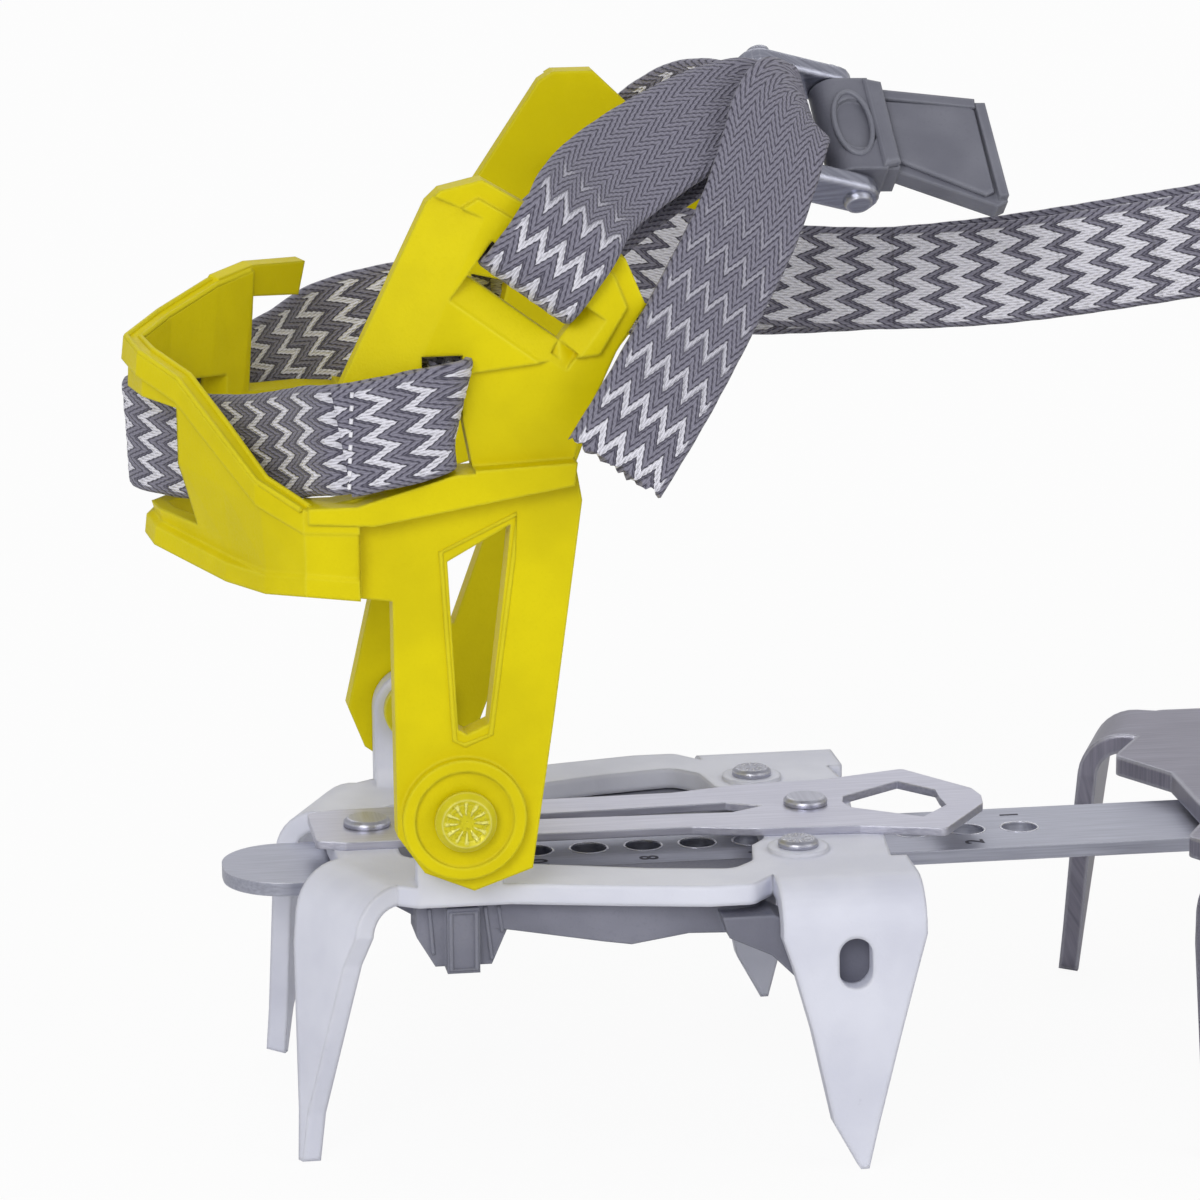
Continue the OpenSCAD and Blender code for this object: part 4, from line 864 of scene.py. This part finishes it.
def strap(name, rows, bright, part=(0, 1), sealed_end=False):
    """Flat webbing along part of a route, with its weave as relief and rounded selvedges.

    bright gives the light yarn's share from the place along the strap and its length.
    """
    line, length = centreline(rows)
    first, last = (round(p * (len(line) - 1)) for p in part)
    half = STRAP_W / 2
    steps = round(STRAP_W / STRAP_STEP)
    spacing = length / (len(line) - 1)
    verts, coords, light = [], [], []
    for i in range(first, last + 1):
        p, forward, w, up = strap_axes(line, i)
        along = i * spacing
        glow = bright(along, length)
        wide = 1 + WIDTH_WANDER * noise.noise(Vector((along * 0.35, 3.1, len(name))))
        for side in (1, -1):
            for k in range(steps + 1):
                u = (-half + STRAP_W * k / steps) * side
                rim = max(0.0, (abs(u) - (half - SELVEDGE)) / SELVEDGE)
                thick = STRAP_T / 2 * math.sqrt(max(0.0, 1 - SELVEDGE_ROUND * rim * rim))
                relief = weave_height(u, along, glow) - RELIEF_DROP
                scallop = (SCALLOP_H * math.sin(along * 2 * math.pi / SCALLOP_PITCH)
                           * (abs(u) > half - SCALLOP_W))
                place = (p + w * (u * wide + math.copysign(scallop, u))
                         + up * side * (thick + relief * (1 - rim)))
                if sealed_end and last - i < MELT_ROWS:
                    melt = (MELT_ROWS - (last - i)) / MELT_ROWS
                    lump = noise.noise(Vector((u * 0.9, side * 2.0, 7.7)))
                    place += (forward * lump * MELT_REACH * melt
                              + up * side * MELT_SWELL * melt * (0.5 + lump))
                verts.append(at(*place))
                coords.append((u, along))
                light.append(glow)
    mesh = bpy.data.meshes.new(name)
    mesh.from_pydata(verts, [], strap_faces(last - first, steps))
    layer = mesh.uv_layers.new(name="weave")
    for loop in mesh.loops:
        layer.data[loop.index].uv = coords[loop.vertex_index]
    attribute = mesh.attributes.new("bright", "FLOAT", "POINT")
    attribute.data.foreach_set("value", light)
    mesh.validate()
    mesh.shade_smooth()
    # Flat ends keep the shading even where two lengths meet
    for face in mesh.polygons[-2 * steps:]:
        face.use_smooth = False
    obj = add_object(name, mesh)
    mesh.materials.append(FINISH["webbing"])
    return obj


def always(along, length):
    return 1.0


def wide_bands(along, length):
    return 2.2


def tail_bright(along, length):
    """The light yarn comes in along the tail."""
    return min(1.0, max(0.0, (along / length - 0.35) / 0.6))


def buckle_lit_fold(along, length):
    """The light yarn is painted only where the strap folds round the wing and catches the light;
    along the rest, painted shade of the ribs leaves it plain grey.
    """
    return max(0.0, 1 - abs(along / length - 0.52) / 0.13) ** 0.5


def ride_strap(piece, node, route, bright, sealed_end=False):
    made = strap(piece, ROUTES[route], bright, sealed_end=sealed_end)
    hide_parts(node)
    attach(made, "heel_basket")


# The row of stitches: how many, where the first begins, and from one to the next as x and z.
# Then each one's own run as x and z, and its width and height.
STITCHES, STITCH_START, STITCH_STEP = 8, (-15.6, -37.8, 100.2), (0.08, 1.8)
STITCH_RUN, STITCH_W, STITCH_H = (0.1, 0.7), 0.5, 0.32


def stitches():
    """A row of stitches across the rear strap's sewn end."""
    shape = bmesh.new()
    for i in range(STITCHES):
        x = STITCH_START[0] + STITCH_STEP[0] * i
        y = STITCH_START[1]
        z = STITCH_START[2] + STITCH_STEP[1] * i
        ends = [(x, y, z), (x + STITCH_RUN[0], y, z + STITCH_RUN[1])]
        add_bead(shape, ends, [(0, -1, 0)] * 2, STITCH_W, STITCH_H)
    detail("strap_stitches", shape, "thread", "webbing", "heel_basket")


ride_strap("rear_webbing", "rear_strap", "rear_strap", always)
ride_strap("rear_webbing_end", "rear_strap", "rear_strap_end", always)
stitches()
ride_strap("buckle_webbing", "buckle_strap", "buckle_strap", buckle_lit_fold)
ride_strap("ankle_webbing", "ankle_strap", "ankle_strap", always)
ride_strap("tail_webbing", "tail_strap", "tail_strap", tail_bright, sealed_end=True)

# The long strap crosses four joints, so each way is four lengths that bend over one joint each
SHARES = [0, 0.34, 0.52, 0.62, 1]


def long_strap(piece, node, shares):
    rows = ROUTES[node]
    line, _ = centreline(rows)
    for i in range(4):
        a, b = shares[i], shares[i + 1]
        made = strap(f"{piece}_{i + 1}", rows, wide_bands, part=(a, b))
        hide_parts(node)
        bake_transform(made)


long_strap("outgoing_webbing", "outgoing_strap", SHARES)
long_strap("returning_webbing", "returning_strap", [1 - s for s in SHARES[::-1]])


# ---------------------------------------------------------------- stage
# Name, place, aim, size and power, in metres and watts
LIGHTS = [
    ("key_light", (-0.8, -1.5, 0.95), (-0.05, 0, 0.06), (0.9, 0.9), 14),
    ("fill_light", (1.3, -1.0, 0.8), (-0.05, 0, 0.06), (1.2, 0.9), 6),
    ("back_light", (0.2, 1.4, 1.1), (-0.05, 0, 0.08), (1.4, 0.8), 4)]
# The world lights the part by less than the white that the camera sees
WORLD_LIGHT, WORLD_SEEN = 0.54, 1.0
# The floor's half size in metres, its grey, and how much of its seen face glows white
FLOOR_HALF, FLOOR_GREY, FLOOR_GLOW = 6, 0.82, 0.93


def stage_light(name, place, aim, size, power):
    data = bpy.data.lights.new(name, "AREA")
    data.shape = "RECTANGLE"
    data.size, data.size_y = size
    data.energy = power
    lamp = add_object(name, data)
    lamp.location = place
    lamp.rotation_mode = "QUATERNION"
    lamp.rotation_quaternion = (Vector(aim) - Vector(place)).to_track_quat("-Z", "Y")


for light in LIGHTS:
    stage_light(*light)


def studio_world():
    world = bpy.data.worlds.new("studio")
    bpy.context.scene.world = world
    world.use_nodes = True
    tree = world.node_tree
    background = tree.nodes["Background"]
    background.inputs["Color"].default_value = (1, 1, 1, 1)
    rays = tree.nodes.new("ShaderNodeLightPath")
    seen = tree.nodes.new("ShaderNodeMath")
    seen.operation = "MAXIMUM"
    tree.links.new(rays.outputs["Is Camera Ray"], seen.inputs[0])
    tree.links.new(rays.outputs["Is Transmission Ray"], seen.inputs[1])
    strength = tree.nodes.new("ShaderNodeMapRange")
    strength.inputs["To Min"].default_value = WORLD_LIGHT
    strength.inputs["To Max"].default_value = WORLD_SEEN
    tree.links.new(seen.outputs[0], strength.inputs["Value"])
    tree.links.new(strength.outputs["Result"], background.inputs["Strength"])


studio_world()


def floor():
    mesh = bpy.data.meshes.new("floor")
    corners = [(x * FLOOR_HALF, y * FLOOR_HALF, 0) for x, y in ((-1, -1), (1, -1), (1, 1), (-1, 1))]
    mesh.from_pydata(corners, [], [(0, 1, 2, 3)])
    obj = add_object("floor", mesh)
    material = bpy.data.materials.new("floor_white")
    material.use_nodes = True
    tree = material.node_tree
    tree.nodes.clear()
    out = tree.nodes.new("ShaderNodeOutputMaterial")
    diffuse = tree.nodes.new("ShaderNodeBsdfDiffuse")
    diffuse.inputs["Color"].default_value = (FLOOR_GREY, FLOOR_GREY, FLOOR_GREY, 1)
    glow = tree.nodes.new("ShaderNodeEmission")
    mix = tree.nodes.new("ShaderNodeMixShader")
    rays = tree.nodes.new("ShaderNodeLightPath")
    share = tree.nodes.new("ShaderNodeMath")
    share.operation = "MULTIPLY"
    share.inputs[1].default_value = FLOOR_GLOW
    tree.links.new(rays.outputs["Is Camera Ray"], share.inputs[0])
    tree.links.new(share.outputs[0], mix.inputs[0])
    tree.links.new(diffuse.outputs[0], mix.inputs[1])
    tree.links.new(glow.outputs[0], mix.inputs[2])
    tree.links.new(mix.outputs[0], out.inputs["Surface"])
    mesh.materials.append(material)


floor()
